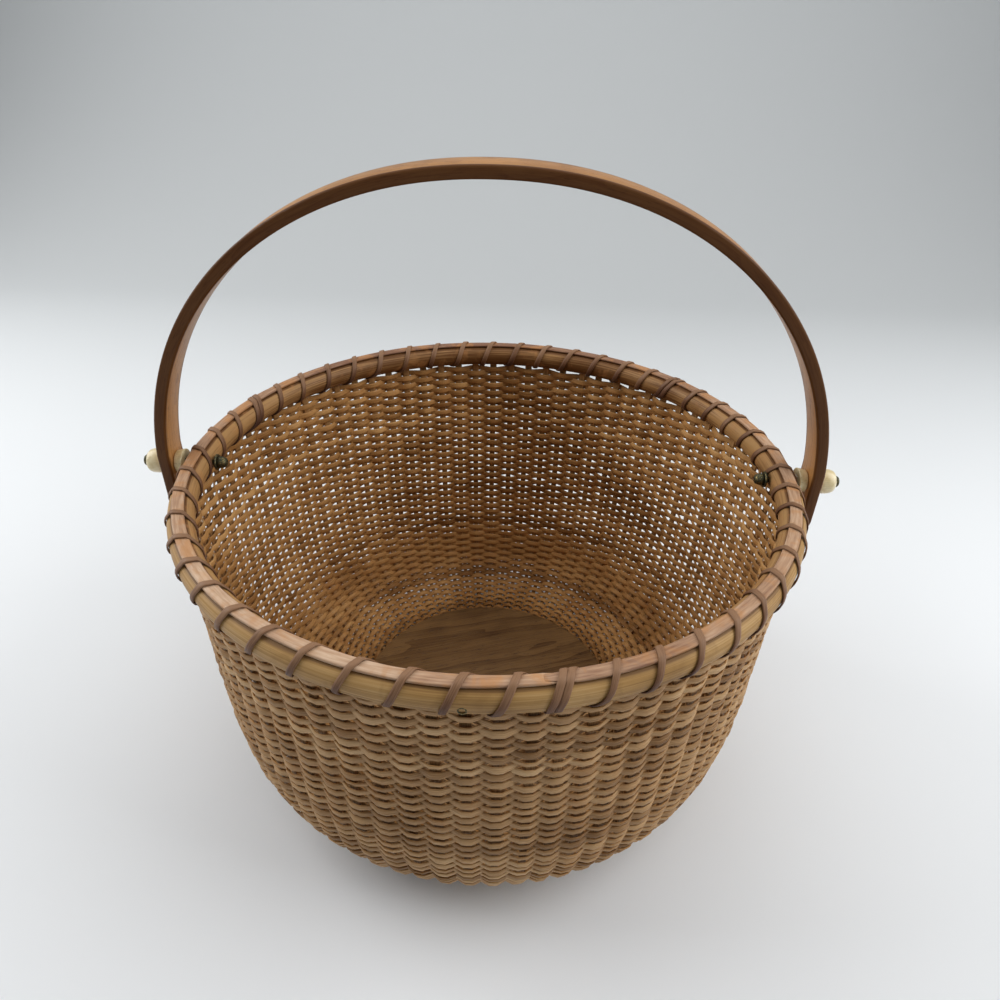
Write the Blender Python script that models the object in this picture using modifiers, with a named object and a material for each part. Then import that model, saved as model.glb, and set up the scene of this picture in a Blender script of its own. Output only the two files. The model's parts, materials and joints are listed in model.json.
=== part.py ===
"""Models a round basket woven on a turned wooden base, with a lashed rim and a swing handle."""

import math

import bmesh
import bpy
import numpy as np

# Fits, in metres
TOUCH_GAP = 0.0003
WEAVE_GAP = 0.0008
LASH_GAP = 0.0004
CUT_OVERRUN = 0.004

# Base plate, turned from one board, with a groove round its edge for the staves
PLATE_RADIUS = 0.0775
PLATE_THICKNESS = 0.011
PLATE_EDGE_ROUND = 0.0025
PLATE_FOOT_CHAMFER = 0.0012
GROOVE_DEPTH = 0.009
GROOVE_HEIGHT = 0.0064

# Wall: the line that the staves follow from the groove to the rim
WALL_RADIUS = 0.1462
RIM_HEIGHT = 0.173
FOOT_REACH = 0.0800
FOOT_RISE = 0.0016
SHOULDER_DROP = 0.100
SHOULDER_INSET = 0.0090

# Staves, split in threes from one splint whose foot sits in the groove; the last splint has two
STAVE_COUNT = 77
STAVES_A_SPLINT = 3
STAVE_THICKNESS = 0.0008
STAVE_FOOT_WIDTH = 0.0027
STAVE_TOP_WIDTH = 0.0052
STAVE_STATION_SHARES = (0.0, 0.145, 0.245, 0.325, 0.45, 1.0)

# Weaver: one flat strip after another, spiralling up over and under the staves
WEAVER_COURSES = 10
WEAVER_LENGTHS = 10
WEAVER_THICKNESS = 0.0006
WEAVE_START = 0.003
FIRST_TAPER_SHARE = 0.15
SPLICE_SHARE = 0.035

# Rim: two half-round hoops with the staves between them, and a cap strip on top
HOOP_HEIGHT = 0.0124
OUTER_HOOP_THICKNESS = 0.0051
INNER_HOOP_THICKNESS = 0.0056
HOOP_CHEEK_SHARE = 0.36
HOOP_LAND_SHARE = 0.40
CAP_WIDTH = 0.0056
CAP_THICKNESS = 0.0012
CAP_CROWN_WIDTH = 0.0044

# Lashing that binds the rim; each length starts beside the last turn of the one before it
LASH_TURNS = 50
LASH_LENGTHS = 3
LASH_FIRST_SPLICE = 39
LASH_DRIFT = 0.43
LASH_WIDTH = 0.0025
LASH_THICKNESS = 0.0008
LASH_TAIL = 0.006

# Swing handle: a bent strip whose legs run straight up to its spring
HANDLE_SPRING = 0.0075
ARCH_MIDDLE_DROP = 0.011
ARCH_RISE = 0.1528
ARCH_EXPONENT = 2.12
HANDLE_WIDTH = 0.0176
HANDLE_THICKNESS = 0.0056
HANDLE_EDGE_CHAMFER = 0.0009
HANDLE_TAIL = 0.027
HANDLE_TIP_SHARES = (0.0, 0.25, 0.6, 1.0)
HANDLE_TIP_WIDTH_SHARES = (0.31, 0.66, 0.92, 1.0)
HANDLE_STEPS = 34

# Pivots
RIVET_RADIUS = 0.0015
BORE_GAP = 0.0003
RIVET_HEAD_RADIUS = 0.0028
RIVET_HEAD_THICKNESS = 0.0020
HEAD_CHEEK_SHARE = 0.55
HEAD_CROWN_SHARE = 0.7
DOME_RADIUS = 0.0030
DOME_LENGTH = 0.0045
DOME_CHEEK_SHARE = 0.45
DOME_SHOULDER_SHARE = 0.85
DOME_CROWN_SHARE = 0.72
COLLAR_LENGTH = 0.0042
COLLAR_RIM_RADIUS = 0.0065
COLLAR_LEG_RADIUS = 0.0056
KNOB_RADIUS = 0.0062
KNOB_LENGTH = 0.0085
KNOB_RADIUS_SHARES = (0.63, 0.93, 1.0, 1.0, 0.91)
KNOB_LENGTH_SHARES = (1.0, 0.875, 0.67, 0.25, 0.0)
WASHER_RADIUS = 0.0040
WASHER_THICKNESS = 0.0008

# Steps and limits of the modelling tools
TURN_STEPS = 44
SMALL_TURN_STEPS = 12
PROFILE_SAMPLES = 2000
SWING_ROUNDS = 8
LASH_SIDES = 8
GAP_SAMPLES_A_STEP = 4
MERGE_DISTANCE = 0.00001
SHARP_EDGE_ANGLE = math.radians(60)

STAVE_PITCH = 2 * math.pi / STAVE_COUNT
HOOP_GAP = STAVE_THICKNESS + 2 * TOUCH_GAP
LASH_ROOM = LASH_GAP + LASH_THICKNESS + WEAVE_GAP
HOOP_BOTTOM = RIM_HEIGHT - HOOP_HEIGHT / 2
HOOP_TOP = RIM_HEIGHT + HOOP_HEIGHT / 2
WALL_TOP = HOOP_BOTTOM - LASH_ROOM
BORE_RADIUS = RIVET_RADIUS + BORE_GAP
COLLAR_SEAT = WALL_RADIUS + HOOP_GAP / 2 + OUTER_HOOP_THICKNESS + 2 * LASH_GAP + LASH_THICKNESS
HANDLE_HALF_SPAN = COLLAR_SEAT + COLLAR_LENGTH + TOUCH_GAP + HANDLE_THICKNESS / 2
SPRING_SHARE = (HANDLE_SPRING + ARCH_MIDDLE_DROP) / ARCH_RISE


# Scene and materials


def clear_scene():
    for thing in list(bpy.data.objects):
        bpy.data.objects.remove(thing, do_unlink=True)


def make_collection(name):
    group = bpy.data.collections.new(name)
    bpy.context.scene.collection.children.link(group)
    return group


def make_material(name, colour, roughness, metallic=0.0):
    material = bpy.data.materials.new(name)
    material.use_nodes = True
    shader = material.node_tree.nodes["Principled BSDF"]
    shader.inputs["Base Color"].default_value = (*colour, 1.0)
    shader.inputs["Roughness"].default_value = roughness
    shader.inputs["Metallic"].default_value = metallic
    return material


def plate_wood():
    return make_material("dark_plate_wood", (0.10, 0.05, 0.02), 0.5)


def stave_wood():
    return make_material("stave_wood", (0.30, 0.19, 0.10), 0.6)


def weaver_cane():
    return make_material("weaver_cane", (0.26, 0.16, 0.08), 0.6)


def outer_hoop_cane():
    return make_material("outer_hoop_cane", (0.42, 0.32, 0.17), 0.35)


def inner_hoop_cane():
    return make_material("inner_hoop_cane", (0.30, 0.17, 0.08), 0.4)


def cap_cane():
    return make_material("cap_cane", (0.34, 0.21, 0.14), 0.4)


def lashing_cane():
    return make_material("lashing_cane", (0.18, 0.10, 0.06), 0.4)


def handle_wood():
    return make_material("handle_wood", (0.24, 0.12, 0.05), 0.4)


def bone():
    return make_material("bone", (0.62, 0.55, 0.35), 0.3)


def dark_brass():
    return make_material("dark_brass", (0.06, 0.05, 0.03), 0.35, 1.0)


# Building blocks


def link_mesh(name, mesh, material, group):
    thing = bpy.data.objects.new(name, mesh)
    thing.data.materials.append(material)
    group.objects.link(thing)
    return thing


def add_strip(shape, steps, place):
    """Adds a strip of faces whose corners place() puts, and returns them by step and side."""
    grid = bmesh.ops.create_grid(shape, x_segments=steps, y_segments=1, size=1)
    corners = {}
    for corner in grid["verts"]:
        step = round((corner.co.x + 1) / 2 * steps)
        side = 1 if corner.co.y > 0 else -1
        corner.co = place(step, side)
        corners[step, side] = corner
    return corners


def strip_object(name, shape, thickness, material, group):
    """Turns strips of faces into an object that Solidify thickens to both sides."""
    mesh = bpy.data.meshes.new(name)
    shape.to_mesh(mesh)
    shape.free()
    thing = link_mesh(name, mesh, material, group)
    thicken = thing.modifiers.new("thickness", "SOLIDIFY")
    thicken.thickness = thickness
    thicken.offset = 0
    thicken.use_even_offset = True
    return thing


def single_strip(name, steps, place, thickness, material, group):
    shape = bmesh.new()
    add_strip(shape, steps, place)
    return strip_object(name, shape, thickness, material, group)


def turned_object(name, profile, closed, steps, material, group):
    """Turns a profile of (radius, height) pairs about Z; its outer side runs from the top down."""
    shape = bmesh.new()
    corners = [shape.verts.new((radius, 0, height)) for radius, height in profile]
    for first, second in zip(corners, corners[1:]):
        shape.edges.new((first, second))
    if closed:
        shape.edges.new((corners[-1], corners[0]))
    mesh = bpy.data.meshes.new(name)
    shape.to_mesh(mesh)
    shape.free()
    thing = link_mesh(name, mesh, material, group)
    turn = thing.modifiers.new("turn", "SCREW")
    turn.steps = steps
    turn.render_steps = steps
    turn.use_merge_vertices = True
    turn.merge_threshold = MERGE_DISTANCE
    turn.use_smooth_shade = steps < STAVE_COUNT
    return thing


def cut(thing, cutter):
    bore = thing.modifiers.new("bore", "BOOLEAN")
    bore.operation = "DIFFERENCE"
    bore.solver = "EXACT"
    bore.object = cutter


def on_facet(radius):
    """The corner radius of a ring of STAVE_COUNT flats whose middles lie at this radius."""
    return radius / math.cos(STAVE_PITCH / 2)


def around(radius, angle, height):
    return (radius * math.cos(angle), radius * math.sin(angle), height)


# The wall's line


def bezier(points, shares):
    a, b, c, d = (np.array(point) for point in points)
    t = shares[:, None]
    return (1 - t) ** 3 * a + 3 * (1 - t) ** 2 * t * b + 3 * (1 - t) * t**2 * c + t**3 * d


def wall_line():
    """Samples the wall's middle line as lengths, points and outward normals."""
    points = (
        (PLATE_RADIUS, GROOVE_HEIGHT),
        (PLATE_RADIUS + FOOT_REACH, GROOVE_HEIGHT + FOOT_RISE),
        (WALL_RADIUS - SHOULDER_INSET, WALL_TOP - SHOULDER_DROP),
        (WALL_RADIUS, WALL_TOP),
    )
    line = bezier(points, np.linspace(0, 1, PROFILE_SAMPLES))
    steps = np.hypot(*np.diff(line, axis=0).T)
    lengths = np.concatenate([[0], np.cumsum(steps)])
    slopes = np.gradient(line, axis=0)
    slopes /= np.hypot(*slopes.T)[:, None]
    return lengths, line, np.stack([slopes[:, 1], -slopes[:, 0]], 1)


WALL_LENGTHS, WALL_POINTS, WALL_NORMALS = wall_line()
WALL_LENGTH = float(WALL_LENGTHS[-1])
WEAVER_PITCH = (WALL_LENGTH - WEAVE_START) / (WEAVER_COURSES - 1)


def wall_at(length):
    """The wall's radius and height at a length from the plate's edge, and its outward normal."""
    values = (WALL_POINTS[:, 0], WALL_POINTS[:, 1], WALL_NORMALS[:, 0], WALL_NORMALS[:, 1])
    return [float(np.interp(length, WALL_LENGTHS, value)) for value in values]


def stave_width(length):
    share = length / WALL_LENGTH
    return STAVE_FOOT_WIDTH + (STAVE_TOP_WIDTH - STAVE_FOOT_WIDTH) * share


def points_at(lengths):
    """The wall's radius and height at each of these lengths from the plate's edge."""
    return np.stack([np.interp(lengths, WALL_LENGTHS, WALL_POINTS[:, axis]) for axis in (0, 1)], 1)


def bend_sags():
    """How far the wall's line bows away from the straight pieces of staves and strips, at its samples."""
    stations = np.array(STAVE_STATION_SHARES) * WALL_LENGTH
    bends = points_at(stations)
    straight = np.stack([np.interp(WALL_LENGTHS, stations, bends[:, axis]) for axis in (0, 1)], 1)
    stave_sags = np.hypot(*(WALL_POINTS - straight).T)
    half_strip = WEAVER_PITCH / 2
    middles = np.clip(WALL_LENGTHS, half_strip, WALL_LENGTH - half_strip)
    ends = (points_at(middles - half_strip) + points_at(middles + half_strip)) / 2
    strip_sags = np.hypot(*(points_at(middles) - ends).T)
    return np.maximum(stave_sags, strip_sags)


BEND_SAGS = bend_sags()


def bend_sag(length):
    """The most that the line bows away on the strips that meet at this length."""
    near = np.abs(WALL_LENGTHS - length) <= WEAVER_PITCH
    return float(BEND_SAGS[near].max())


def weave_swing(length):
    """How far the weaver swings to each side of the wall's line, so that it clears the staves' edges."""
    radius, _, out, _ = wall_at(length)
    spacing = radius * STAVE_PITCH
    half_stave = stave_width(length) / 2
    ring_sag = radius * (1 - math.cos(STAVE_PITCH)) * out * half_stave / spacing
    swing = 0
    for _ in range(SWING_ROUNDS):
        lean = math.hypot(1, 2 * swing / spacing)
        need = STAVE_THICKNESS / 2 + TOUCH_GAP + WEAVER_THICKNESS / 2 * lean
        swing = (need + bend_sag(length) + ring_sag) / (1 - 2 * half_stave / spacing)
    return swing


# Base and staves


def base_plate(material, group):
    slot = HOOP_GAP / 2
    profile = [
        (0, PLATE_THICKNESS),
        (PLATE_RADIUS - PLATE_EDGE_ROUND, PLATE_THICKNESS),
        (PLATE_RADIUS, PLATE_THICKNESS - PLATE_EDGE_ROUND),
        (PLATE_RADIUS, GROOVE_HEIGHT + slot),
        (PLATE_RADIUS - GROOVE_DEPTH, GROOVE_HEIGHT + slot),
        (PLATE_RADIUS - GROOVE_DEPTH, GROOVE_HEIGHT - slot),
        (PLATE_RADIUS, GROOVE_HEIGHT - slot),
        (PLATE_RADIUS, PLATE_FOOT_CHAMFER),
        (PLATE_RADIUS - PLATE_FOOT_CHAMFER, 0),
        (0, 0),
    ]
    return turned_object("base_plate", profile, False, TURN_STEPS, material, group)


def stave_stations():
    """Radius, height and width of a stave from the bottom of the groove to under the cap."""
    stations = [(PLATE_RADIUS - GROOVE_DEPTH + TOUCH_GAP, GROOVE_HEIGHT, STAVE_FOOT_WIDTH)]
    for share in STAVE_STATION_SHARES:
        length = share * WALL_LENGTH
        radius, height, _, _ = wall_at(length)
        stations.append((radius, height, stave_width(length)))
    stations.append((WALL_RADIUS, HOOP_TOP - TOUCH_GAP, STAVE_TOP_WIDTH))
    return stations


def stave_place(stations, angle):
    def place(step, side):
        radius, height, width = stations[step]
        half = side * width / 2
        x = radius * math.cos(angle) - half * math.sin(angle)
        y = radius * math.sin(angle) + half * math.cos(angle)
        return (x, y, height)

    return place


def splint(numbers, material, group):
    """One splint: its foot fills the groove between its staves, and it is split past the plate."""
    stations = stave_stations()
    shape = bmesh.new()
    before = None
    for number in numbers:
        place = stave_place(stations, (number + 0.5) * STAVE_PITCH)
        corners = add_strip(shape, len(stations) - 1, place)
        if before:
            near_side = shape.edges.get((before[0, 1], before[1, 1]))
            far_side = shape.edges.get((corners[0, -1], corners[1, -1]))
            bmesh.ops.bridge_loops(shape, edges=[near_side, far_side])
        before = corners
    name = f"stave_splint_{numbers[0] // STAVES_A_SPLINT + 1:02d}"
    return strip_object(name, shape, STAVE_THICKNESS, material, group)


def staves(material, group):
    splints = []
    for first in range(0, STAVE_COUNT, STAVES_A_SPLINT):
        numbers = range(first, min(first + STAVES_A_SPLINT, STAVE_COUNT))
        splints.append(splint(numbers, material, group))
    return splints


# Weaver


def weaver_point(passed, side):
    """A point on the weaver's lower (-1) or upper (1) edge after a number of staves passed."""
    turns = passed / STAVE_COUNT
    lower = max(0, turns - 1) * WEAVER_PITCH
    upper = min(turns, WEAVER_COURSES - 1) * WEAVER_PITCH - WEAVE_GAP
    length = WEAVE_START + (upper if side > 0 else lower)
    radius, height, out, up = wall_at(length)
    whole = math.floor(passed)
    swing = (-1) ** whole * (1 - 2 * (passed - whole)) * weave_swing(length)
    return around(radius + swing * out, (passed + 0.5) * STAVE_PITCH, height + swing * up)


def weaver_ranges():
    """Start and end of each length of weaver, in staves passed; lengths meet over the middle of a stave."""
    taper = round(FIRST_TAPER_SHARE * STAVE_COUNT)
    last = WEAVER_COURSES * STAVE_COUNT
    splices = [round(last * share / WEAVER_LENGTHS) for share in range(1, WEAVER_LENGTHS)]
    marks = [taper] + splices + [last - taper]
    ranges = []
    for start, end in zip(marks, marks[1:]):
        inner = list(range(start + 1, end))
        ranges.append([start + SPLICE_SHARE] + inner + [end - SPLICE_SHARE])
    return ranges


def weavers(material, group):
    before = []
    for number, marks in enumerate(weaver_ranges(), 1):

        def place(step, side, marks=marks):
            return weaver_point(marks[step], side)

        name = f"weaver_{number:02d}"
        single_strip(name, len(marks) - 1, place, WEAVER_THICKNESS, material, group)
        edges = [[weaver_point(mark, side) for mark in before + marks] for side in (-1, 1)]
        print_least_gap(name, edges, STAVE_COUNT - 2, WEAVER_THICKNESS)
        before = marks


def print_least_gap(name, edges, apart, thickness):
    """Prints the least distance between a strip's edges at points at least so many steps apart."""
    lower, upper = (np.array(edge) for edge in edges)
    lower, upper = fill_in(lower), fill_in(upper)
    steps = np.arange(len(lower))
    far = np.abs(steps[:, None] - steps[None]) >= apart * GAP_SAMPLES_A_STEP
    least = math.inf
    for one, other in ((lower, upper), (lower, lower), (upper, upper)):
        distances = np.linalg.norm(one[:, None] - other[None], axis=2)
        if far.any():
            least = min(least, float(distances[far].min()))
    print(f"{name}: least gap between turns {1000 * (least - thickness / 2):.2f} mm")


def fill_in(points):
    """The same line with points put evenly between its points."""
    shares = np.arange((len(points) - 1) * GAP_SAMPLES_A_STEP + 1) / GAP_SAMPLES_A_STEP
    return np.stack([np.interp(shares, np.arange(len(points)), points[:, axis]) for axis in range(3)], 1)


# Rim


def hoop_section(thickness, side):
    """Corners of a half-round hoop beside the wall: side 1 is the outer hoop, -1 the inner one."""
    flat = HOOP_GAP / 2
    half = HOOP_HEIGHT / 2
    land = flat + thickness * HOOP_LAND_SHARE
    full = flat + thickness
    cheek = half * HOOP_CHEEK_SHARE
    corners = [(flat, half), (land, half), (full, cheek), (full, -cheek), (land, -half), (flat, -half)]
    if side > 0:
        return corners
    return [(-out, up) for out, up in reversed(corners)]


def cap_section():
    half = CAP_WIDTH / 2
    crown = CAP_CROWN_WIDTH / 2
    low = HOOP_HEIGHT / 2 + TOUCH_GAP
    high = low + CAP_THICKNESS
    return [(crown, high), (half, low), (-half, low), (-crown, high)]


def rim_ring(name, section, material, group):
    profile = [(on_facet(WALL_RADIUS + out), RIM_HEIGHT + up) for out, up in section]
    return turned_object(name, profile, True, STAVE_COUNT, material, group)


# Lashing


def lash_corners():
    """Corners of the outline that the lashing follows round the rim, from below outward and over."""
    hull = hoop_section(OUTER_HOOP_THICKNESS, 1) + hoop_section(INNER_HOOP_THICKNESS, -1) + cap_section()
    hull = np.array(hull)
    offset = LASH_GAP + LASH_THICKNESS / 2
    sides = []
    for side in range(LASH_SIDES + 1):
        angle = side * 2 * math.pi / LASH_SIDES - math.pi / 2
        normal = np.array([math.cos(angle), math.sin(angle)])
        sides.append((normal, float((hull @ normal).max()) + offset))
    corners = []
    for (one, reach), (other, further) in zip(sides, sides[1:]):
        corners.append(np.linalg.solve(np.array([one, other]), np.array([reach, further])))
    return corners


def lash_shares(corners):
    """Each corner's share of the way round, starting under the middle of the wall."""
    start = np.array([0, corners[0][1]])
    path = [start] + corners + [start]
    steps = [float(np.linalg.norm(b - a)) for a, b in zip(path, path[1:])]
    return [sum(steps[: place + 1]) / sum(steps) for place in range(len(corners))]


def even_passage(turn):
    """Where the lashing would pass under the rim if no stave were in its way, in staves.

    Its turns straddle the rivets, and lie a little further on at the front than at the back."""
    even = (turn - 0.5) * STAVE_COUNT / LASH_TURNS
    return even - LASH_DRIFT * math.sin(even * STAVE_PITCH)


def snapped_passage(turn):
    """The same passage moved between two staves."""
    even = even_passage(turn)
    spacing = WALL_RADIUS * STAVE_PITCH
    slack = 0.5 - (STAVE_TOP_WIDTH / 2 + LASH_WIDTH / 2 + LASH_GAP) / spacing
    middle = round(even)
    return min(max(even, middle - slack), middle + slack)


def lash_points(first, last):
    """The strand's stations as radius offset, height offset, angle and half width, tails included."""
    corners = lash_corners()
    shares = lash_shares(corners)
    low = corners[0][1]
    beside = (LASH_WIDTH + WEAVE_GAP) / 2 / (WALL_RADIUS * STAVE_PITCH)
    passages = [snapped_passage(turn) for turn in range(first, last + 2)]
    asides = [0] * len(passages)
    for place, aside in ((0, beside), (1, beside), (-2, -beside), (-1, -beside)):
        passages[place] = round(passages[place]) + aside
        asides[place] = aside
    half = LASH_WIDTH / 2
    points = [(0, low + LASH_TAIL, passages[0], half), (0, low, passages[0], half)]
    for turn in range(first, last + 1):
        place = turn - first
        start, end = even_passage(turn), even_passage(turn + 1)
        aside = asides[place] if asides[place] == asides[place + 1] else 0
        round_rim = [start + (end - start) * share + aside for share in shares]
        round_rim[0] = passages[place]
        round_rim[-1] = passages[place + 1]
        for corner, passed in zip(corners, round_rim):
            points.append((corner[0], corner[1], passed, half / lash_lean_cosine()))
    points += [(0, low, passages[-1], half), (0, low + LASH_TAIL, passages[-1], half)]
    return points


def lash_lean_cosine():
    corners = lash_corners()
    loop = sum(float(np.linalg.norm(b - a)) for a, b in zip(corners, corners[1:] + corners[:1]))
    return loop / math.hypot(loop, WALL_RADIUS * 2 * math.pi / LASH_TURNS)


def lashings(material, group):
    marks = [LASH_FIRST_SPLICE + round(LASH_TURNS * n / LASH_LENGTHS) for n in range(LASH_LENGTHS + 1)]
    for number, (first, last) in enumerate(zip(marks, marks[1:]), 1):
        points = lash_points(first, last)

        def place(step, side, points=points):
            out, up, passed, half = points[step]
            radius = WALL_RADIUS + out
            return around(radius, passed * STAVE_PITCH - side * half / radius, RIM_HEIGHT + up)

        name = f"rim_lashing_{number:02d}"
        single_strip(name, len(points) - 1, place, LASH_THICKNESS, material, group)
        edges = [[place(step, side) for step in range(len(points))] for side in (-1, 1)]
        print_least_gap(name, edges, len(lash_corners()) - 1, 0)


# Handle


def handle_point(turn):
    """A point on the arch's middle line, as X and height; it meets the straight legs at its spring."""
    power = 2 / ARCH_EXPONENT
    half_width = HANDLE_HALF_SPAN / (1 - SPRING_SHARE**ARCH_EXPONENT) ** (1 / ARCH_EXPONENT)
    across = math.cos(turn)
    x = half_width * math.copysign(abs(across) ** power, across)
    return x, RIM_HEIGHT - ARCH_MIDDLE_DROP + ARCH_RISE * math.sin(turn) ** power


def handle_line():
    """Points of the middle line from the tip of one leg over the arch to the tip of the other."""
    spring = math.asin(SPRING_SHARE ** (ARCH_EXPONENT / 2))
    sweep = math.pi - 2 * spring
    arch = [handle_point(spring + sweep * step / HANDLE_STEPS) for step in range(HANDLE_STEPS + 1)]
    tip = RIM_HEIGHT - HANDLE_TAIL
    half = HANDLE_WIDTH / 2
    tail = []
    for share, width_share in zip(HANDLE_TIP_SHARES, HANDLE_TIP_WIDTH_SHARES):
        tail.append((HANDLE_HALF_SPAN, tip + half * share, half * width_share))
    middle = [(x, height, half) for x, height in arch]
    return tail + middle + [(-x, height, width) for x, height, width in reversed(tail)]


def handle(material, group):
    line = handle_line()

    def place(step, side):
        x, height, half = line[step]
        return (x, side * half, height - RIM_HEIGHT)

    thing = single_strip("handle", len(line) - 1, place, HANDLE_THICKNESS, material, group)
    thing.location = (0, 0, RIM_HEIGHT)
    ease = thing.modifiers.new("eased_edges", "BEVEL")
    ease.width = HANDLE_EDGE_CHAMFER
    ease.segments = 1
    ease.limit_method = "ANGLE"
    ease.angle_limit = SHARP_EDGE_ANGLE
    return thing


# Pivots


def lay_along_x(thing, side):
    thing.rotation_euler = (0, side * math.pi / 2, 0)
    thing.location = (0, 0, RIM_HEIGHT)


def collar(side, material, group):
    far = COLLAR_SEAT + COLLAR_LENGTH
    profile = [
        (BORE_RADIUS, far),
        (COLLAR_LEG_RADIUS, far),
        (COLLAR_RIM_RADIUS, COLLAR_SEAT),
        (BORE_RADIUS, COLLAR_SEAT),
    ]
    name = "collar_right" if side > 0 else "collar_left"
    lay_along_x(turned_object(name, profile, True, SMALL_TURN_STEPS, material, group), side)


def knob(side, material, group):
    near = HANDLE_HALF_SPAN + HANDLE_THICKNESS / 2 + TOUCH_GAP
    profile = [(BORE_RADIUS, near + KNOB_LENGTH)]
    for radius_share, length_share in zip(KNOB_RADIUS_SHARES, KNOB_LENGTH_SHARES):
        profile.append((KNOB_RADIUS * radius_share, near + KNOB_LENGTH * length_share))
    profile.append((BORE_RADIUS, near))
    name = "knob_right" if side > 0 else "knob_left"
    lay_along_x(turned_object(name, profile, True, SMALL_TURN_STEPS, material, group), side)


def inner_face():
    """How far out the lashing on the inner hoop's face lets the washer sit."""
    return WALL_RADIUS - HOOP_GAP / 2 - INNER_HOOP_THICKNESS - 2 * LASH_GAP - LASH_THICKNESS


def washer(side, material, group):
    far = inner_face()
    near = far - WASHER_THICKNESS
    profile = [(BORE_RADIUS, far), (WASHER_RADIUS, far), (WASHER_RADIUS, near), (BORE_RADIUS, near)]
    name = "rivet_washer_right" if side > 0 else "rivet_washer_left"
    lay_along_x(turned_object(name, profile, True, SMALL_TURN_STEPS, material, group), side)


def rivet(side, material, group):
    head = HANDLE_HALF_SPAN + HANDLE_THICKNESS / 2 + 2 * TOUCH_GAP + KNOB_LENGTH
    dome = inner_face() - WASHER_THICKNESS - TOUCH_GAP
    profile = [
        (0, head + RIVET_HEAD_THICKNESS),
        (RIVET_HEAD_RADIUS * HEAD_CROWN_SHARE, head + RIVET_HEAD_THICKNESS),
        (RIVET_HEAD_RADIUS, head + RIVET_HEAD_THICKNESS * HEAD_CHEEK_SHARE),
        (RIVET_HEAD_RADIUS, head),
        (RIVET_RADIUS, head),
        (RIVET_RADIUS, dome),
        (DOME_RADIUS, dome),
        (DOME_RADIUS, dome - DOME_LENGTH * DOME_CHEEK_SHARE),
        (DOME_RADIUS * DOME_CROWN_SHARE, dome - DOME_LENGTH * DOME_SHOULDER_SHARE),
        (0, dome - DOME_LENGTH),
    ]
    name = "rivet_right" if side > 0 else "rivet_left"
    lay_along_x(turned_object(name, profile, False, SMALL_TURN_STEPS, material, group), side)


def bore_cutter(side, group):
    """A rod on the pivot's line that cuts the hoops, a stave and the handle's leg for the rivet."""
    start = WALL_RADIUS - HOOP_GAP / 2 - INNER_HOOP_THICKNESS - CUT_OVERRUN
    end = HANDLE_HALF_SPAN + HANDLE_THICKNESS / 2 + CUT_OVERRUN
    profile = [(0, end), (BORE_RADIUS, end), (BORE_RADIUS, start), (0, start)]
    material = bpy.data.materials.new("cutter")
    name = "bore_cutter_right" if side > 0 else "bore_cutter_left"
    rod = turned_object(name, profile, False, SMALL_TURN_STEPS, material, group)
    lay_along_x(rod, side)
    rod.hide_render = True
    rod.display_type = "WIRE"
    return rod


def main():
    clear_scene()
    parts = make_collection("nantucket_basket")
    cutters = make_collection("cutters")

    base_plate(plate_wood(), parts)
    weavers(weaver_cane(), parts)
    lashings(lashing_cane(), parts)
    rim_ring("rim_cap", cap_section(), cap_cane(), parts)

    splints = staves(stave_wood(), parts)
    rivet_stave = STAVE_COUNT // 2
    bored = [
        splints[rivet_stave // STAVES_A_SPLINT],
        rim_ring("outer_rim_hoop", hoop_section(OUTER_HOOP_THICKNESS, 1), outer_hoop_cane(), parts),
        rim_ring("inner_rim_hoop", hoop_section(INNER_HOOP_THICKNESS, -1), inner_hoop_cane(), parts),
        handle(handle_wood(), parts),
    ]
    bone_stock = bone()
    brass = dark_brass()
    for side in (-1, 1):
        collar(side, bone_stock, parts)
        knob(side, bone_stock, parts)
        washer(side, brass, parts)
        rivet(side, brass, parts)
        rod = bore_cutter(side, cutters)
        for piece in bored:
            cut(piece, rod)


main()
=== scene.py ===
"""Dresses the model of a round cane basket: weave, lashed rim, swing handle, ears, stage."""

import json
import math

import bmesh
import bpy
import numpy as np
from bpy.props import FloatProperty, FloatVectorProperty, IntProperty, PointerProperty
from mathutils import Matrix, Vector


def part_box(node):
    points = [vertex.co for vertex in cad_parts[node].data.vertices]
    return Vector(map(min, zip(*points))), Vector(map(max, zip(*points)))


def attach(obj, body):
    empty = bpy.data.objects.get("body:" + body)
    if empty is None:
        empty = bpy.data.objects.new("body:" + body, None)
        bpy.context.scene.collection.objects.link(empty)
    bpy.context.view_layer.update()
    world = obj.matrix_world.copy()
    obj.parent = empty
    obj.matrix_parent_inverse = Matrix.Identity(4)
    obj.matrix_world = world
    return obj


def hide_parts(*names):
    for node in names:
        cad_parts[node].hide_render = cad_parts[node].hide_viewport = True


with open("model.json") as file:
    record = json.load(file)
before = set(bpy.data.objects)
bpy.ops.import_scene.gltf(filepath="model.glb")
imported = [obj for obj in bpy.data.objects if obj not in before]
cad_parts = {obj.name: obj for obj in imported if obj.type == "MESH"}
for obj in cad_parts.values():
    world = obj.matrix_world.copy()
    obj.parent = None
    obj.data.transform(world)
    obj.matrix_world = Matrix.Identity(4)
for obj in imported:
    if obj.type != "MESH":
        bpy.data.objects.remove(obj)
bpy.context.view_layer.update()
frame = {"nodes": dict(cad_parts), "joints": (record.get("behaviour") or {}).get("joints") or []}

bl_info = {
    "name": "Cane Basket Dresser",
    "version": (1, 0, 0),
    "blender": (4, 5, 0),
    "location": "3D View > Sidebar > Basket",
    "description": "Models the fine weave, lashed rim, handle and ears of a round cane basket",
    "category": "Object",
}

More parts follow.
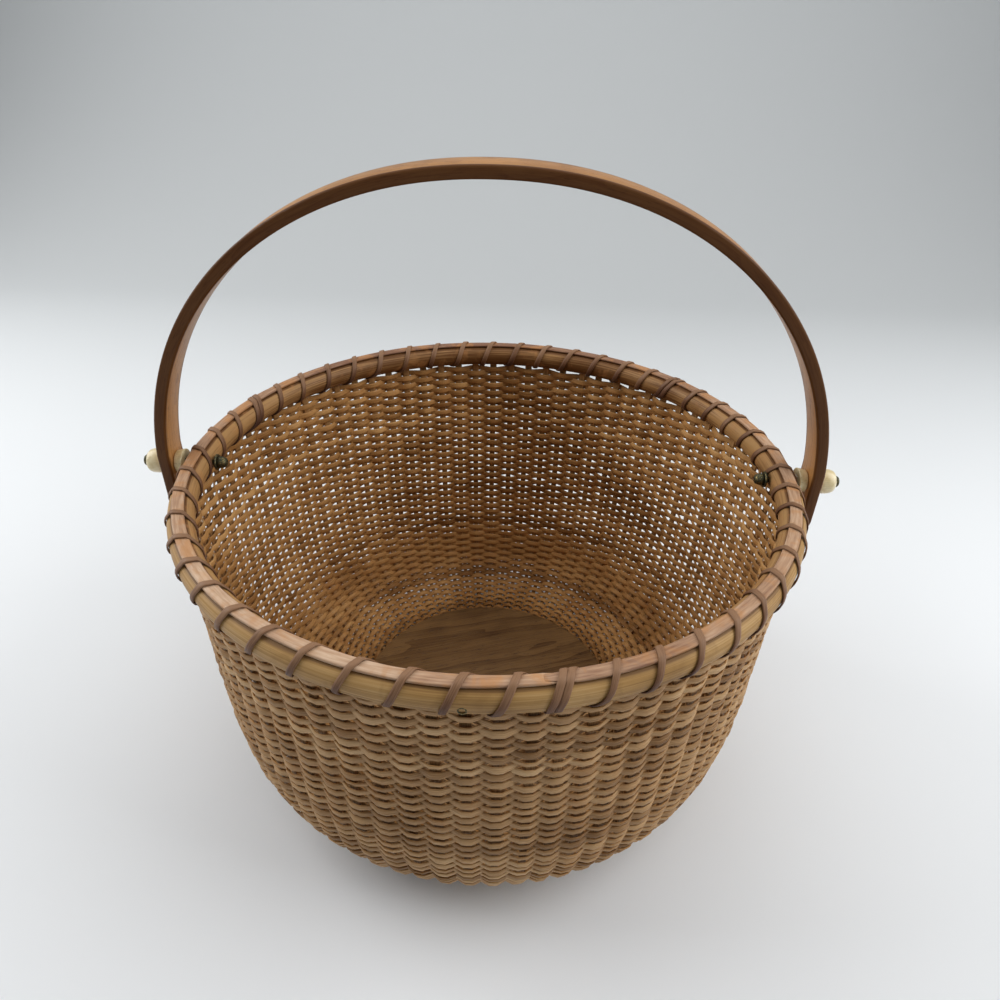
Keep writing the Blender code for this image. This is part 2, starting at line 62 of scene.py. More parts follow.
# Sizes read from the frame, in metres
RIM_HEIGHT = frame["joints"][0]["pos_m"][2]
HOOP_LOW, HOOP_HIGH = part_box("outer_rim_hoop")
HOOP_HALF = (HOOP_HIGH.z - HOOP_LOW.z) / 2
PLATE_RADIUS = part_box("base_plate")[1].x
PLATE_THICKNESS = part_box("base_plate")[1].z
STAVE_SPLINTS, WEAVERS, LASHINGS = (
    [name for name in frame["nodes"] if name.startswith(kind)]
    for kind in ("stave_splint", "weaver", "rim_lashing")
)

# The wall's line and the rim's fits, as the frame was drawn
WALL_RADIUS = 0.1462
WALL_TOP = HOOP_LOW.z - 0.0009
GROOVE_HEIGHT, GROOVE_DEPTH = 0.0064, 0.009
FOOT_REACH, FOOT_RISE = 0.080, 0.0016
SHOULDER_DROP, SHOULDER_INSET = 0.100, 0.0090
STAVE_COUNT = 77
STAVE_PITCH = 2 * math.pi / STAVE_COUNT
HOOP_GAP = 0.0014
OUTER_THICK, INNER_THICK, HOOP_SQUARENESS = 0.0051, 0.0056, 2.1
CAP_WIDTH, CAP_THICK, CAP_GAP = 0.0056, 0.0012, 0.0003
LASH_TURNS, LASH_LENGTHS, LASH_FIRST_SPLICE = 50, 3, 39
LASH_DRIFT, SNAP_SHARE = 0.43, 0.2
HANDLE_WIDTH, HANDLE_THICK, LEG_TAIL = 0.0176, 0.0056, 0.027
HALF_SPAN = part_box("handle")[1].x - HANDLE_THICK / 2
SPRING, ARCH_DROP, ARCH_RISE, ARCH_POWER = 0.0075, 0.011, 0.1528, 2.12
RIVET_RADIUS, BORE_RADIUS, EAR_GAP = 0.0015, 0.0018, 0.0003

# The weave, which the frame has in coarse courses: lengths in metres
WEAVE_BANDS, POINTS_A_STAVE = 4, 6
WEAVE_START, WEAVE_MARGIN = 0.0015, 0.0021
ROW_OPENING = 0.09  # how much the rows open towards the rim, as a share of their pitch
FOLD_SHARPNESS = 1.5  # how soon the cane lies flat on a stave after it has passed between two
ROW_WANDER, CROSSING_WANDER, SWING_WANDER = 0.00030, 0.00010, 0.00016
ROLL_WANDER, WIDTH_WANDER = 0.13, 0.06
TURNS_A_CANE, CANE_TONE_SPREAD, PATCH_TONE_SPREAD = 1.7, 0.26, 0.16

random = np.random.default_rng(12)


# Numbers that make the work uneven, as handwork is


def ripple(angle, share, seed, waves=(3, 19)):
    """A smooth uneven field round the wall (angle) and up it (share), about -1 to 1."""
    source = np.random.default_rng(seed)
    total = np.zeros_like(np.asarray(angle, float) + np.asarray(share, float))
    for _ in range(9):
        around = source.integers(*waves)
        up = source.uniform(-9, 9)
        total += np.sin(around * angle + up * share * math.pi + source.uniform(0, 6.3))
    return total / 3.5


STAVE_DRIFT = random.normal(0, 0.045, STAVE_COUNT)


def drifted(passed):
    """Staves passed, with each stave a little off its even place."""
    marks = np.arange(-2, STAVE_COUNT + 3)
    return passed + np.interp(np.mod(passed, STAVE_COUNT), marks, STAVE_DRIFT[marks % STAVE_COUNT])


def angle_at(passed):
    return (drifted(passed) + 0.5) * STAVE_PITCH


def directions(line):
    """Unit vectors along a line of points."""
    slopes = np.gradient(line, axis=0)
    return slopes / np.linalg.norm(slopes, axis=1)[:, None]


def distances(line):
    """Metres along a line at each of its points."""
    return np.concatenate([[0], np.cumsum(np.linalg.norm(np.diff(line, axis=0), axis=1))])


def rounded(values, power):
    """Powers that keep the sign, for the flattened circles of sections and bends."""
    return np.sign(values) * np.abs(values) ** power


def wall_line():
    """Lengths, points and outward normals of the wall's middle line."""
    a = np.array((PLATE_RADIUS, GROOVE_HEIGHT))
    b = np.array((PLATE_RADIUS + FOOT_REACH, GROOVE_HEIGHT + FOOT_RISE))
    c = np.array((WALL_RADIUS - SHOULDER_INSET, WALL_TOP - SHOULDER_DROP))
    d = np.array((WALL_RADIUS, WALL_TOP))
    t = np.linspace(0, 1, 1500)[:, None]
    line = (1 - t) ** 3 * a + 3 * (1 - t) ** 2 * t * b + 3 * (1 - t) * t**2 * c + t**3 * d
    slopes = directions(line)
    return distances(line), line, np.stack([slopes[:, 1], -slopes[:, 0]], 1)


LENGTHS, LINE, NORMALS = wall_line()
WALL_LENGTH = float(LENGTHS[-1])


def wall_at(length):
    """Radius, height, and the outward normal's radial and upward parts at lengths up the wall."""
    values = (LINE[:, 0], LINE[:, 1], NORMALS[:, 0], NORMALS[:, 1])
    return [np.interp(length, LENGTHS, value) for value in values]


def round_up(radius, angle, height):
    return np.stack([radius * np.cos(angle), radius * np.sin(angle), height + 0 * angle], -1)


# Meshes


def put_object(name, data):
    thing = bpy.data.objects.new(name, data)
    bpy.context.scene.collection.objects.link(thing)
    return thing


def put_mesh(name, mesh, material):
    mesh.shade_smooth()
    mesh.materials.append(material)
    return put_object(name, mesh)


def finish_mesh(name, mesh, material, stands_for=(), body="basket"):
    """Makes the object of a piece, rides it on its body and hides the nodes that it stands for."""
    piece = put_mesh(name, mesh, material)
    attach(piece, body)
    if stands_for:
        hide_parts(*stands_for)


def mesh_of(shape, name):
    mesh = bpy.data.meshes.new(name)
    shape.to_mesh(mesh)
    shape.free()
    return mesh


def places_of(mesh):
    place = np.empty(len(mesh.vertices) * 3)
    mesh.vertices.foreach_get("co", place)
    return place.reshape(-1, 3)


def sealed(mesh, holes=0):
    """Merges the mesh's seams, closes its ends and points its faces outwards."""
    shape = bmesh.new()
    shape.from_mesh(mesh)
    bmesh.ops.remove_doubles(shape, verts=shape.verts, dist=0.000002)
    if holes:
        ends = [edge for edge in shape.edges if edge.is_boundary]
        bmesh.ops.holes_fill(shape, edges=ends, sides=holes)
    bmesh.ops.recalc_face_normals(shape, faces=shape.faces)
    shape.to_mesh(mesh)
    shape.free()
    return mesh


def swept(name, centre, across, out, section, tone=None):
    """Sweeps a section along a line: across and out are its half sizes, as vectors at each point.

    The map named lay has metres along the line and metres round the section, and the facing
    value is 1 on the side that looks out and -1 on the side that looks in."""
    steps, corners = len(centre) - 1, len(section)
    shape = bmesh.new()
    bmesh.ops.create_grid(shape, x_segments=steps, y_segments=corners, size=1)
    mesh = mesh_of(shape, name)
    place = places_of(mesh)
    step = np.rint((place[:, 0] + 1) / 2 * steps).astype(int)
    turn = np.rint((place[:, 1] + 1) / 2 * corners).astype(int)
    corner = np.asarray(section)[turn % corners]
    place = centre[step] + across[step] * corner[:, :1] + out[step] * corner[:, 1:]
    mesh.vertices.foreach_set("co", place.ravel())
    run = distances(centre)
    halves = np.array([np.linalg.norm(vectors, axis=1).max() for vectors in (across, out)])
    loop = np.vstack([section, section[:1]]) * halves
    girth = distances(loop)
    owners = np.empty(len(mesh.loops), int)
    mesh.loops.foreach_get("vertex_index", owners)
    lay = mesh.uv_layers.new(name="lay")
    lay.data.foreach_set("uv", np.stack([run[step], girth[turn]], 1)[owners].ravel())
    facing = mesh.attributes.new("facing", "FLOAT", "POINT")
    facing.data.foreach_set("value", corner[:, 1].astype(np.float32))
    if tone is not None:
        shade = mesh.attributes.new("tone", "FLOAT", "POINT")
        shade.data.foreach_set("value", tone[step].astype(np.float32))
    return sealed(mesh, corners)


def oval(corners, squareness):
    """A section between an ellipse (2) and a box (high), in half sizes."""
    turns = (np.arange(corners) + 0.5) * 2 * math.pi / corners
    section = rounded(np.stack([np.cos(turns), np.sin(turns)], 1), 2 / squareness)
    return section / np.abs(section).max(0)


CANE_SECTION = oval(8, 2.6)


def spun(name, profile, axis, steps, ease=0.0, middle=(0, 0, 0), side=1):
    """Turns a profile of (radius, place along the axis) about Z, or about X through a middle."""
    shape = bmesh.new()
    if axis == "Z":
        points = [Vector((radius, 0, along)) for radius, along in profile]
        turn = Vector((0, 0, 1))
    else:
        points = [Vector(middle) + Vector((side * along, 0, radius)) for radius, along in profile]
        turn = Vector((1, 0, 0))
    corners = [shape.verts.new(point) for point in points]
    edges = [shape.edges.new(pair) for pair in zip(corners, corners[1:])]
    if profile[0][0] > 0 and profile[-1][0] > 0:
        edges.append(shape.edges.new((corners[-1], corners[0])))
    if ease:
        sharp = [corner for corner in corners if len(corner.link_edges) == 2]
        bmesh.ops.bevel(
            shape, geom=sharp, offset=ease, segments=3, profile=0.5, affect="VERTICES", material=-1
        )
    bmesh.ops.spin(
        shape,
        geom=shape.verts[:] + shape.edges[:],
        cent=middle,
        axis=turn,
        angle=2 * math.pi,
        steps=steps,
        use_merge=True,
    )
    return sealed(mesh_of(shape, name))


# Node helpers


def add(tree, kind, **settings):
    node = tree.nodes.new(kind)
    for name, value in settings.items():
        setattr(node, name, value)
    return node


def feed(tree, node, sockets):
    """Sets or links the node's inputs by name or number."""
    for socket, source in sockets.items():
        if isinstance(source, bpy.types.NodeSocket):
            tree.links.new(source, node.inputs[socket])
        else:
            node.inputs[socket].default_value = source
    return node


def maths(tree, operation, *values):
    node = add(tree, "ShaderNodeMath", operation=operation)
    return feed(tree, node, dict(enumerate(values))).outputs[0]


def times(tree, value, factor):
    return maths(tree, "MULTIPLY", value, factor)


def total(tree, *values):
    """All the values added up."""
    result = values[0]
    for value in values[1:]:
        result = maths(tree, "ADD", result, value)
    return result


def split(tree, place):
    """The X, Y and Z of a place."""
    return feed(tree, add(tree, "ShaderNodeSeparateXYZ"), {0: place}).outputs


def joined(tree, x, y, z):
    """A place from its X, Y and Z."""
    return feed(tree, add(tree, "ShaderNodeCombineXYZ"), {0: x, 1: y, 2: z}).outputs[0]


def blended(tree, share, first, second, kind="MIX"):
    node = add(tree, "ShaderNodeMix", data_type="RGBA", blend_type=kind)
    return feed(tree, node, {0: share, 6: first, 7: second}).outputs[2]


def spread(tree, value, low, high, to_low=0.0, to_high=1.0):
    """The value mapped from low..high to to_low..to_high, held at the ends."""
    node = add(tree, "ShaderNodeMapRange")
    return feed(tree, node, {0: value, 1: low, 2: high, 3: to_low, 4: to_high}).outputs[0]


def noise_spread(tree, noise, to_low, to_high):
    """A noise mapped to to_low..to_high over the middle of its range, where it mostly lies."""
    return spread(tree, noise, 0.3, 0.7, to_low, to_high)


def grain_noise(tree, place, scale, detail=3.0, roughness=0.55, distortion=0.0):
    sockets = {"Vector": place, "Scale": scale, "Detail": detail}
    sockets.update({"Roughness": roughness, "Distortion": distortion})
    return feed(tree, add(tree, "ShaderNodeTexNoise"), sockets).outputs["Fac"]


def sized_noise(tree, place, size, detail=3.0):
    """Noise on a place divided by a pattern's size along each axis, in metres."""
    node = add(tree, "ShaderNodeVectorMath", operation="DIVIDE")
    return grain_noise(tree, feed(tree, node, {0: place, 1: size}).outputs[0], 1.0, detail)


def bumped(tree, height, distance, strength):
    """The normal of a surface with small heights, the distance in metres."""
    node = add(tree, "ShaderNodeBump")
    sockets = {"Height": height, "Distance": distance, "Strength": strength}
    return feed(tree, node, sockets).outputs[0]


def rgba(colour):
    return (*colour, 1.0)


def object_place(tree):
    return add(tree, "ShaderNodeTexCoord").outputs["Object"]


def lay_place(tree):
    """Metres along a swept piece and round it."""
    return add(tree, "ShaderNodeUVMap", uv_map="lay").outputs[0]


def point_value(tree, name):
    return add(tree, "ShaderNodeAttribute", attribute_name=name).outputs["Fac"]


def new_group(name, inputs, outputs):
    """An empty shader group with its named sockets: the tree, what it is given, and its end."""
    tree = bpy.data.node_groups.new(name, "ShaderNodeTree")
    for title, kind, value in inputs:
        socket = tree.interface.new_socket(title, in_out="INPUT", socket_type=kind)
        if value is not None:
            socket.default_value = value
    for title, kind in outputs:
        tree.interface.new_socket(title, in_out="OUTPUT", socket_type=kind)
    return tree, add(tree, "NodeGroupInput").outputs, add(tree, "NodeGroupOutput")


def put_group(tree, name, sockets):
    node = add(tree, "ShaderNodeGroup", node_tree=bpy.data.node_groups[name])
    return feed(tree, node, sockets)


# Finishes

COLOUR, NUMBER, VECTOR = "NodeSocketColor", "NodeSocketFloat", "NodeSocketVector"
FINISH_OUTPUTS = [("Colour", COLOUR), ("Roughness", NUMBER), ("Height", NUMBER)]
CANE_COLOURS = ("Dark", "Middle", "Light", "Stain")
STAIN_START, STAIN_RAMP = 0.53, 0.15
# Golden tint for painted warm bounce light on the faces that look into the basket
PAINTED_BOUNCE_GOLD = (1.0, 0.82, 0.50, 1)


def cane_fibre_group():
    """Split cane: long fibres, slow drifts of colour, stained patches and dark specks."""
    inputs = [
        ("Place", VECTOR, None),
        ("Drift place", VECTOR, None),
        ("Tone", NUMBER, 0.0),
        *((title, COLOUR, None) for title in CANE_COLOURS),
        ("Fibre width", NUMBER, 0.0003),
        ("Fibre length", NUMBER, 0.02),
        ("Stain share", NUMBER, 0.3),
        ("Stain start", NUMBER, STAIN_START),
    ]
    tree, given, end = new_group("cane_fibre", inputs, FINISH_OUTPUTS)
    drift_scale, patch_scale, fine_scale = 26.0, 90.0, 3.1
    width = given["Fibre width"]
    size = joined(tree, given["Fibre length"], width, width)
    node = add(tree, "ShaderNodeVectorMath", operation="DIVIDE")
    run = feed(tree, node, {0: given["Place"], 1: size}).outputs[0]
    fibres = grain_noise(tree, run, 1.0, 3.0)
    fine = grain_noise(tree, run, fine_scale, 2.0)
    drift = grain_noise(tree, given["Drift place"], drift_scale, 2.0)
    fibre_tone = noise_spread(tree, fibres, -0.5, 0.5)
    drift_tone = noise_spread(tree, drift, -0.35, 0.35)
    tone = total(tree, fibre_tone, given["Tone"], drift_tone)
    colour = blended(tree, spread(tree, tone, -0.9, 0.1), given["Dark"], given["Middle"])
    colour = blended(tree, spread(tree, tone, 0.1, 1.0), colour, given["Light"])
    patches = grain_noise(tree, given["Drift place"], patch_scale, 3.0, 0.6, 0.6)
    stain_end = total(tree, given["Stain start"], STAIN_RAMP)
    stained = spread(tree, patches, given["Stain start"], stain_end)
    colour = blended(tree, times(tree, stained, given["Stain share"]), colour, given["Stain"])
    specks = spread(tree, fine, 0.68, 0.76, 0.0, 0.45)
    colour = blended(tree, specks, colour, given["Dark"])
    roughness = noise_spread(tree, fibres, 0.58, 0.44)
    height = total(tree, fibres, times(tree, fine, 0.5))
    feed(tree, end, {"Colour": colour, "Roughness": roughness, "Height": height})


def board_grain_group():
    """Sawn or bent wood: growth rings cut along the board, and short dark pores."""
    inputs = [
        ("Place", VECTOR, None),
        ("Dark", COLOUR, None),
        ("Light", COLOUR, None),
        ("Pore colour", COLOUR, None),
        ("Ring width", NUMBER, 0.004),
        ("Ring share", NUMBER, 0.6),
    ]
    tree, given, end = new_group("board_grain", inputs, FINISH_OUTPUTS)
    warp_depth, ring_tilt, ring_sharpness, cloud_scale = 0.05, 0.6, 2.2, 22.0
    place = given["Place"]
    _, across, up = split(tree, place)
    warp = sized_noise(tree, place, (0.12, 0.02, 0.02), 2.0)
    fibres = sized_noise(tree, place, (0.03, 0.0006, 0.0006))
    pores = sized_noise(tree, place, (0.006, 0.00035, 0.00035), 1.0)
    clouds = grain_noise(tree, place, cloud_scale, 2.0)
    ring = total(tree, across, times(tree, warp, warp_depth), times(tree, up, ring_tilt))
    ring = maths(tree, "FRACT", maths(tree, "DIVIDE", ring, given["Ring width"]))
    ring = times(tree, maths(tree, "POWER", ring, ring_sharpness), given["Ring share"])
    fibre_share = noise_spread(tree, fibres, -0.25, 0.35)
    share = total(tree, ring, fibre_share, noise_spread(tree, clouds, -0.2, 0.3))
    colour = blended(tree, share, given["Light"], given["Dark"])
    dark_pores = spread(tree, pores, 0.63, 0.70, 0.0, 0.75)
    colour = blended(tree, dark_pores, colour, given["Pore colour"])
    roughness = noise_spread(tree, fibres, 0.42, 0.32)
    height = maths(tree, "SUBTRACT", fibres, dark_pores)
    feed(tree, end, {"Colour": colour, "Roughness": roughness, "Height": height})


def rim_run_group():
    """Turns an Object place into metres round the rim, out from it and up.

    The seam mask is 1 in the corners of the hoops, under the cap and against the wall, where it
    paints shade, and the rise goes from -1 at the hoops' lower edge to 1 at their upper edge, for
    painted light from above. The shade is -1 in the stretch of the rim at the back, opposite the
    splice, where it paints shade, and 0 elsewhere."""
    outputs = [("Run", VECTOR), ("Seam", NUMBER), ("Rise", NUMBER), ("Shade", NUMBER)]
    tree, given, end = new_group("rim_run", [("Place", VECTOR, None)], outputs)
    seam_from, seam_to = CAP_WIDTH / 2, CAP_WIDTH / 2 + 0.0011
    shade_from, shade_to = 0.05, 0.14
    x, y, z = split(tree, given["Place"])
    angle = maths(tree, "ARCTAN2", y, x)
    radius = maths(tree, "SQRT", total(tree, times(tree, x, x), times(tree, y, y)))
    aside = maths(tree, "ABSOLUTE", maths(tree, "SUBTRACT", radius, WALL_RADIUS))
    sockets = {
        "Run": joined(tree, times(tree, angle, WALL_RADIUS), radius, z),
        # Painted shade in the seams between the hoops, the cap and the wall
        "Seam": spread(tree, aside, seam_from, seam_to, 1.0, 0.0),
        # Painted light from above: lighter up the hoops, darker at their lower edge
        "Rise": spread(tree, z, RIM_HEIGHT - HOOP_HALF, RIM_HEIGHT + HOOP_HALF, -1.0, 1.0),
        # Painted shade over the back of the rim
        "Shade": spread(tree, y, shade_from, shade_to, 0.0, -1.0),
    }
    feed(tree, end, sockets)


def new_material(name, roughness=0.5):
    material = bpy.data.materials.new(name)
    material.use_nodes = True
    tree = material.node_tree
    shader = tree.nodes["Principled BSDF"]
    shader.inputs["Roughness"].default_value = roughness
    return material, tree, shader


def finish_with(tree, shader, made, relief, coat=0.0, gloss=0.2):
    """Feeds a group's colour, roughness and height to the shader, and dulls its bare gloss."""
    sockets = {
        "Base Color": made.outputs["Colour"],
        "Roughness": made.outputs["Roughness"],
        "Normal": bumped(tree, made.outputs["Height"], relief, 0.6),
        "Specular IOR Level": gloss,
        "Coat Weight": coat,
        "Coat Roughness": 0.3,
    }
    feed(tree, shader, sockets)


def put_fibre(tree, place, drift_place, colours, stain_share, fibre, **more):
    """Places the cane_fibre group: colours are dark, middle, light and stain.

    Fibre is the width and length of its fibres in metres."""
    sockets = {
        "Place": place,
        "Drift place": drift_place,
        "Fibre width": fibre[0],
        "Fibre length": fibre[1],
        "Stain share": stain_share,
        **dict(zip(CANE_COLOURS, map(rgba, colours))),
        **more,
    }
    return put_group(tree, "cane_fibre", sockets)


def strand_material(
    name, colours, stain_share, fibre, relief, tone=True, coat=0.0, mellow=0.0, **more
):
    """Cane that is laid along its own map. The share given for the inward faces is how far they are
    tinted golden, a painted warm bounce light.
    """
    material, tree, shader = new_material(name)
    places = lay_place(tree), object_place(tree)
    if tone:
        more["Tone"] = point_value(tree, "tone")
    made = put_fibre(tree, *places, colours, stain_share, fibre, **more)
    finish_with(tree, shader, made, relief, coat)
    # Painted warm bounce light on the faces that look into the basket
    if mellow:
        share = spread(tree, point_value(tree, "facing"), -0.3, 0.3, mellow, 0.0)
        golden = blended(tree, share, made.outputs["Colour"], PAINTED_BOUNCE_GOLD, "MULTIPLY")
        feed(tree, shader, {"Base Color": golden})
    return material


def ring_material(name, colours, stain_share, fibre, relief, coat):
    """Cane that runs round the rim, with painted shade in its seams and over the back, and painted
    light up its rise.
    """
    material, tree, shader = new_material(name)
    place = object_place(tree)
    rim = put_group(tree, "rim_run", {"Place": place}).outputs
    # Painted shade and light: darker in the seams and at the back, lighter towards the hoops' upper
    # edge
    painted_shade_weights = {"Seam": -1.6, "Rise": 0.35, "Shade": 1.1}
    tone = total(tree, *(times(tree, rim[mask], weight) for mask, weight in painted_shade_weights.items()))
    made = put_fibre(tree, rim["Run"], place, colours, stain_share, fibre, Tone=tone)
    finish_with(tree, shader, made, relief, coat)
    return material


def plate_material(settings):
    """Dark board of the base, its grain a little askew to the handle."""
    material, tree, shader = new_material("dark_board")
    turn = add(tree, "ShaderNodeMapping")
    feed(tree, turn, {"Vector": object_place(tree), "Rotation": (0, 0, -0.30)})
    sockets = {
        "Place": turn.outputs[0],
        "Dark": rgba(settings.plate_dark),
        "Light": rgba(settings.plate_light),
        "Pore colour": (0.02, 0.008, 0.003, 1),
        "Ring width": 0.013,
        "Ring share": 0.55,
    }
    made = put_group(tree, "board_grain", sockets)
    finish_with(tree, shader, made, relief=0.0002, coat=0.1)
    return material


def handle_material(settings):
    """Bent and varnished strip: its grain along the bend, with painted shade on both narrow edges.
    """
    material, tree, shader = new_material("bent_wood")
    sockets = {
        "Place": lay_place(tree),
        "Dark": rgba(settings.wood_dark),
        "Light": rgba(settings.wood_light),
        "Pore colour": rgba([0.4 * value for value in settings.wood_dark]),
        "Ring width": 0.0042,
        "Ring share": 0.35,
    }
    made = put_group(tree, "board_grain", sockets)
    finish_with(tree, shader, made, relief=0.00008, coat=0.03, gloss=0.12)
    # Painted shade: the colour darkens towards both narrow edges of the strip
    aside = maths(tree, "ABSOLUTE", split(tree, object_place(tree))[1])
    edge_from, edge_to = HANDLE_WIDTH / 2 - 0.0022, HANDLE_WIDTH / 2 - 0.0008
    edge = spread(tree, aside, edge_from, edge_to, 0.0, 0.85)
    colour = blended(tree, edge, made.outputs["Colour"], rgba(settings.wood_edge_shade))
    feed(tree, shader, {"Base Color": colour})
    return material


def bone_material(settings):
    """Polished bone: cream, with fine brown lines along it and yellowed clouds."""
    material, tree, shader = new_material("old_bone")
    place = object_place(tree)
    line_colour, cloud_scale = (0.30, 0.19, 0.07, 1), 260.0
    lines = sized_noise(tree, place, (0.008, 0.0006, 0.0006))
    clouds = spread(tree, grain_noise(tree, place, cloud_scale, 2.0), 0.35, 0.7)
    colour = blended(tree, clouds, rgba(settings.bone_light), rgba(settings.bone_dark))
    colour = blended(tree, spread(tree, lines, 0.58, 0.72, 0, 0.5), colour, line_colour)
    sockets = {
        "Base Color": colour,
        "Normal": bumped(tree, lines, 0.00005, 0.4),
        "Roughness": noise_spread(tree, lines, 0.24, 0.4),
        "Coat Weight": 0.3,
    }
    feed(tree, shader, sockets)
    return material


def brass_material(settings):
    """Brass gone dark and greenish, rubbed bare in places."""
    material, tree, shader = new_material("dark_brass")
    crust_scale = 1400.0
    crust = grain_noise(tree, object_place(tree), crust_scale, 4.0, 0.65)
    rubbed = spread(tree, crust, 0.50, 0.66)
    colour = blended(tree, rubbed, rgba(settings.brass_crust), rgba(settings.brass_bare))
    sockets = {
        "Base Color": colour,
        "Metallic": spread(tree, crust, 0.42, 0.6, 0.55, 1.0),
        "Roughness": spread(tree, crust, 0.4, 0.7, 0.6, 0.3),
        "Normal": bumped(tree, crust, 0.0001, 0.5),
    }
    feed(tree, shader, sockets)
    return material


# Settings that a user would change


def colour_setting(name, description, default):
    return FloatVectorProperty(
        name=name, description=description, default=default, size=3, min=0, max=1, subtype="COLOR"
    )


def length_setting(name, description, default):
    return FloatProperty(
        name=name, description=description, default=default, min=0, precision=5, unit="LENGTH"
    )


class BasketWallSettings(bpy.types.PropertyGroup):
    rows: IntProperty(name="Rows", description="Turns of cane up the wall", default=77, min=3)
    strand_share: FloatProperty(
        name="Strand width",
        description="Width of the weaving cane as a share of the row pitch",
        default=1.22,
        subtype="FACTOR",
    )
    strand_thick: length_setting("Strand thickness", "Thickness of the weaving cane", 0.0010)
    swing: length_setting("Swing", "How far the cane swings to each side of the wall", 0.0018)
    stave_thick: length_setting("Stave thickness", "Thickness of a stave", 0.0013)
    stave_foot: length_setting("Stave foot width", "Width of a stave at the base", 0.0024)
    stave_top: length_setting("Stave top width", "Width of a stave at the rim", 0.0043)
    cane_dark: colour_setting("Cane dark", "Dark fibres of the weaving cane", (0.17, 0.080, 0.025))
    cane_middle: colour_setting("Cane", "The weaving cane", (0.45, 0.265, 0.12))
    cane_light: colour_setting("Cane light", "Bleached weaving cane", (0.63, 0.42, 0.22))
    cane_stain: colour_setting("Cane stain", "Orange brown stain on the cane", (0.36, 0.17, 0.06))
    stave_dark: colour_setting("Stave dark", "Dark fibres of the staves", (0.12, 0.055, 0.02))
    stave_light: colour_setting("Stave light", "The staves", (0.33, 0.19, 0.085))
    plate_dark: colour_setting("Base dark", "Dark grain of the base", (0.066, 0.030, 0.011))
    plate_light: colour_setting("Base light", "Light grain of the base", (0.21, 0.115, 0.044))


class BasketRimSettings(bpy.types.PropertyGroup):
    lash_width: length_setting("Lashing width", "Width of the binding cane", 0.0028)
    lash_thick: length_setting("Lashing thickness", "Thickness of the binding cane", 0.0008)
    straw: colour_setting("Outer hoop", "Straw colour of the outer hoop", (0.40, 0.228, 0.078))
    straw_dark: colour_setting("Outer hoop dark", "Fibre lines of the hoop", (0.19, 0.095, 0.030))
    straw_light: colour_setting("Outer hoop light", "Bleached fibres", (0.54, 0.35, 0.155))
    tan: colour_setting("Inner hoop", "Tan of the inner hoop", (0.40, 0.22, 0.085))
    tan_dark: colour_setting("Inner hoop dark", "Fibre lines of the hoop", (0.13, 0.052, 0.014))
    rind: colour_setting("Cap", "Pinkish brown rind of the cap", (0.42, 0.255, 0.155))
    rind_light: colour_setting("Cap light", "Scuffed rind", (0.58, 0.41, 0.28))
    rind_dark: colour_setting("Cap dark", "Mauve brown rind", (0.20, 0.098, 0.056))
    rind_orange: colour_setting("Cap orange", "Orange patches of the cap", (0.46, 0.21, 0.07))
    lash: colour_setting("Lashing", "Binding cane", (0.14, 0.064, 0.031))
    lash_dark: colour_setting("Lashing dark", "Dark fibres of the binding", (0.060, 0.026, 0.018))
    lash_light: colour_setting("Lashing light", "Rubbed binding cane", (0.25, 0.137, 0.074))


class BasketHandleSettings(bpy.types.PropertyGroup):
    wood_dark: colour_setting("Wood dark", "Dark grain of the handle", (0.16, 0.052, 0.010))
    wood_light: colour_setting("Wood light", "Light grain of the handle", (0.46, 0.225, 0.075))
    # Painted shade on the handle's narrow edges
    wood_edge_shade: colour_setting("Wood edge", "Dark varnish on the edges", (0.055, 0.015, 0.003))
    bone_light: colour_setting("Bone", "Cream of the bone", (0.83, 0.72, 0.46))
    bone_dark: colour_setting("Bone dark", "Yellowed bone", (0.66, 0.53, 0.27))
    brass_crust: colour_setting("Brass crust", "Green black crust", (0.045, 0.048, 0.028))
    brass_bare: colour_setting("Brass bare", "Rubbed brass", (0.30, 0.22, 0.09))


class BasketStageSettings(bpy.types.PropertyGroup):
    floor: colour_setting("Floor", "The floor", (0.80, 0.82, 0.84))
    # The backdrop is darker than the floor as painted shade where the light falls off at the back
    floor_back_shade: colour_setting("Backdrop", "The curved back", (0.59, 0.61, 0.62))
    key_power: FloatProperty(
        name="Key light", description="The broad soft light overhead", default=6.6, unit="POWER"
    )
    fill_power: FloatProperty(
        name="Side lights", description="The soft light at each side", default=8.3, unit="POWER"
    )
    air: FloatProperty(
        name="Room light", description="Strength of the even light all round", default=0.205, min=0
    )
    air_seen: FloatProperty(
        name="Room as seen", description="How bright the room looks and mirrors", default=0.5, min=0
    )
    lens: FloatProperty(name="Lens", description="Focal length", default=27.04, unit="CAMERA")


# Wall pieces


def plate_mesh():
    slot_low, slot_high = GROOVE_HEIGHT - HOOP_GAP / 2, GROOVE_HEIGHT + HOOP_GAP / 2
    groove = PLATE_RADIUS - GROOVE_DEPTH
    profile = [
        (0, PLATE_THICKNESS),
        (PLATE_RADIUS, PLATE_THICKNESS),
        (PLATE_RADIUS, slot_high),
        (groove, slot_high),
        (groove, slot_low),
        (PLATE_RADIUS, slot_low),
        (PLATE_RADIUS, 0),
        (0, 0),
    ]
    return spun("base_board", profile, "Z", 144, ease=0.0006)


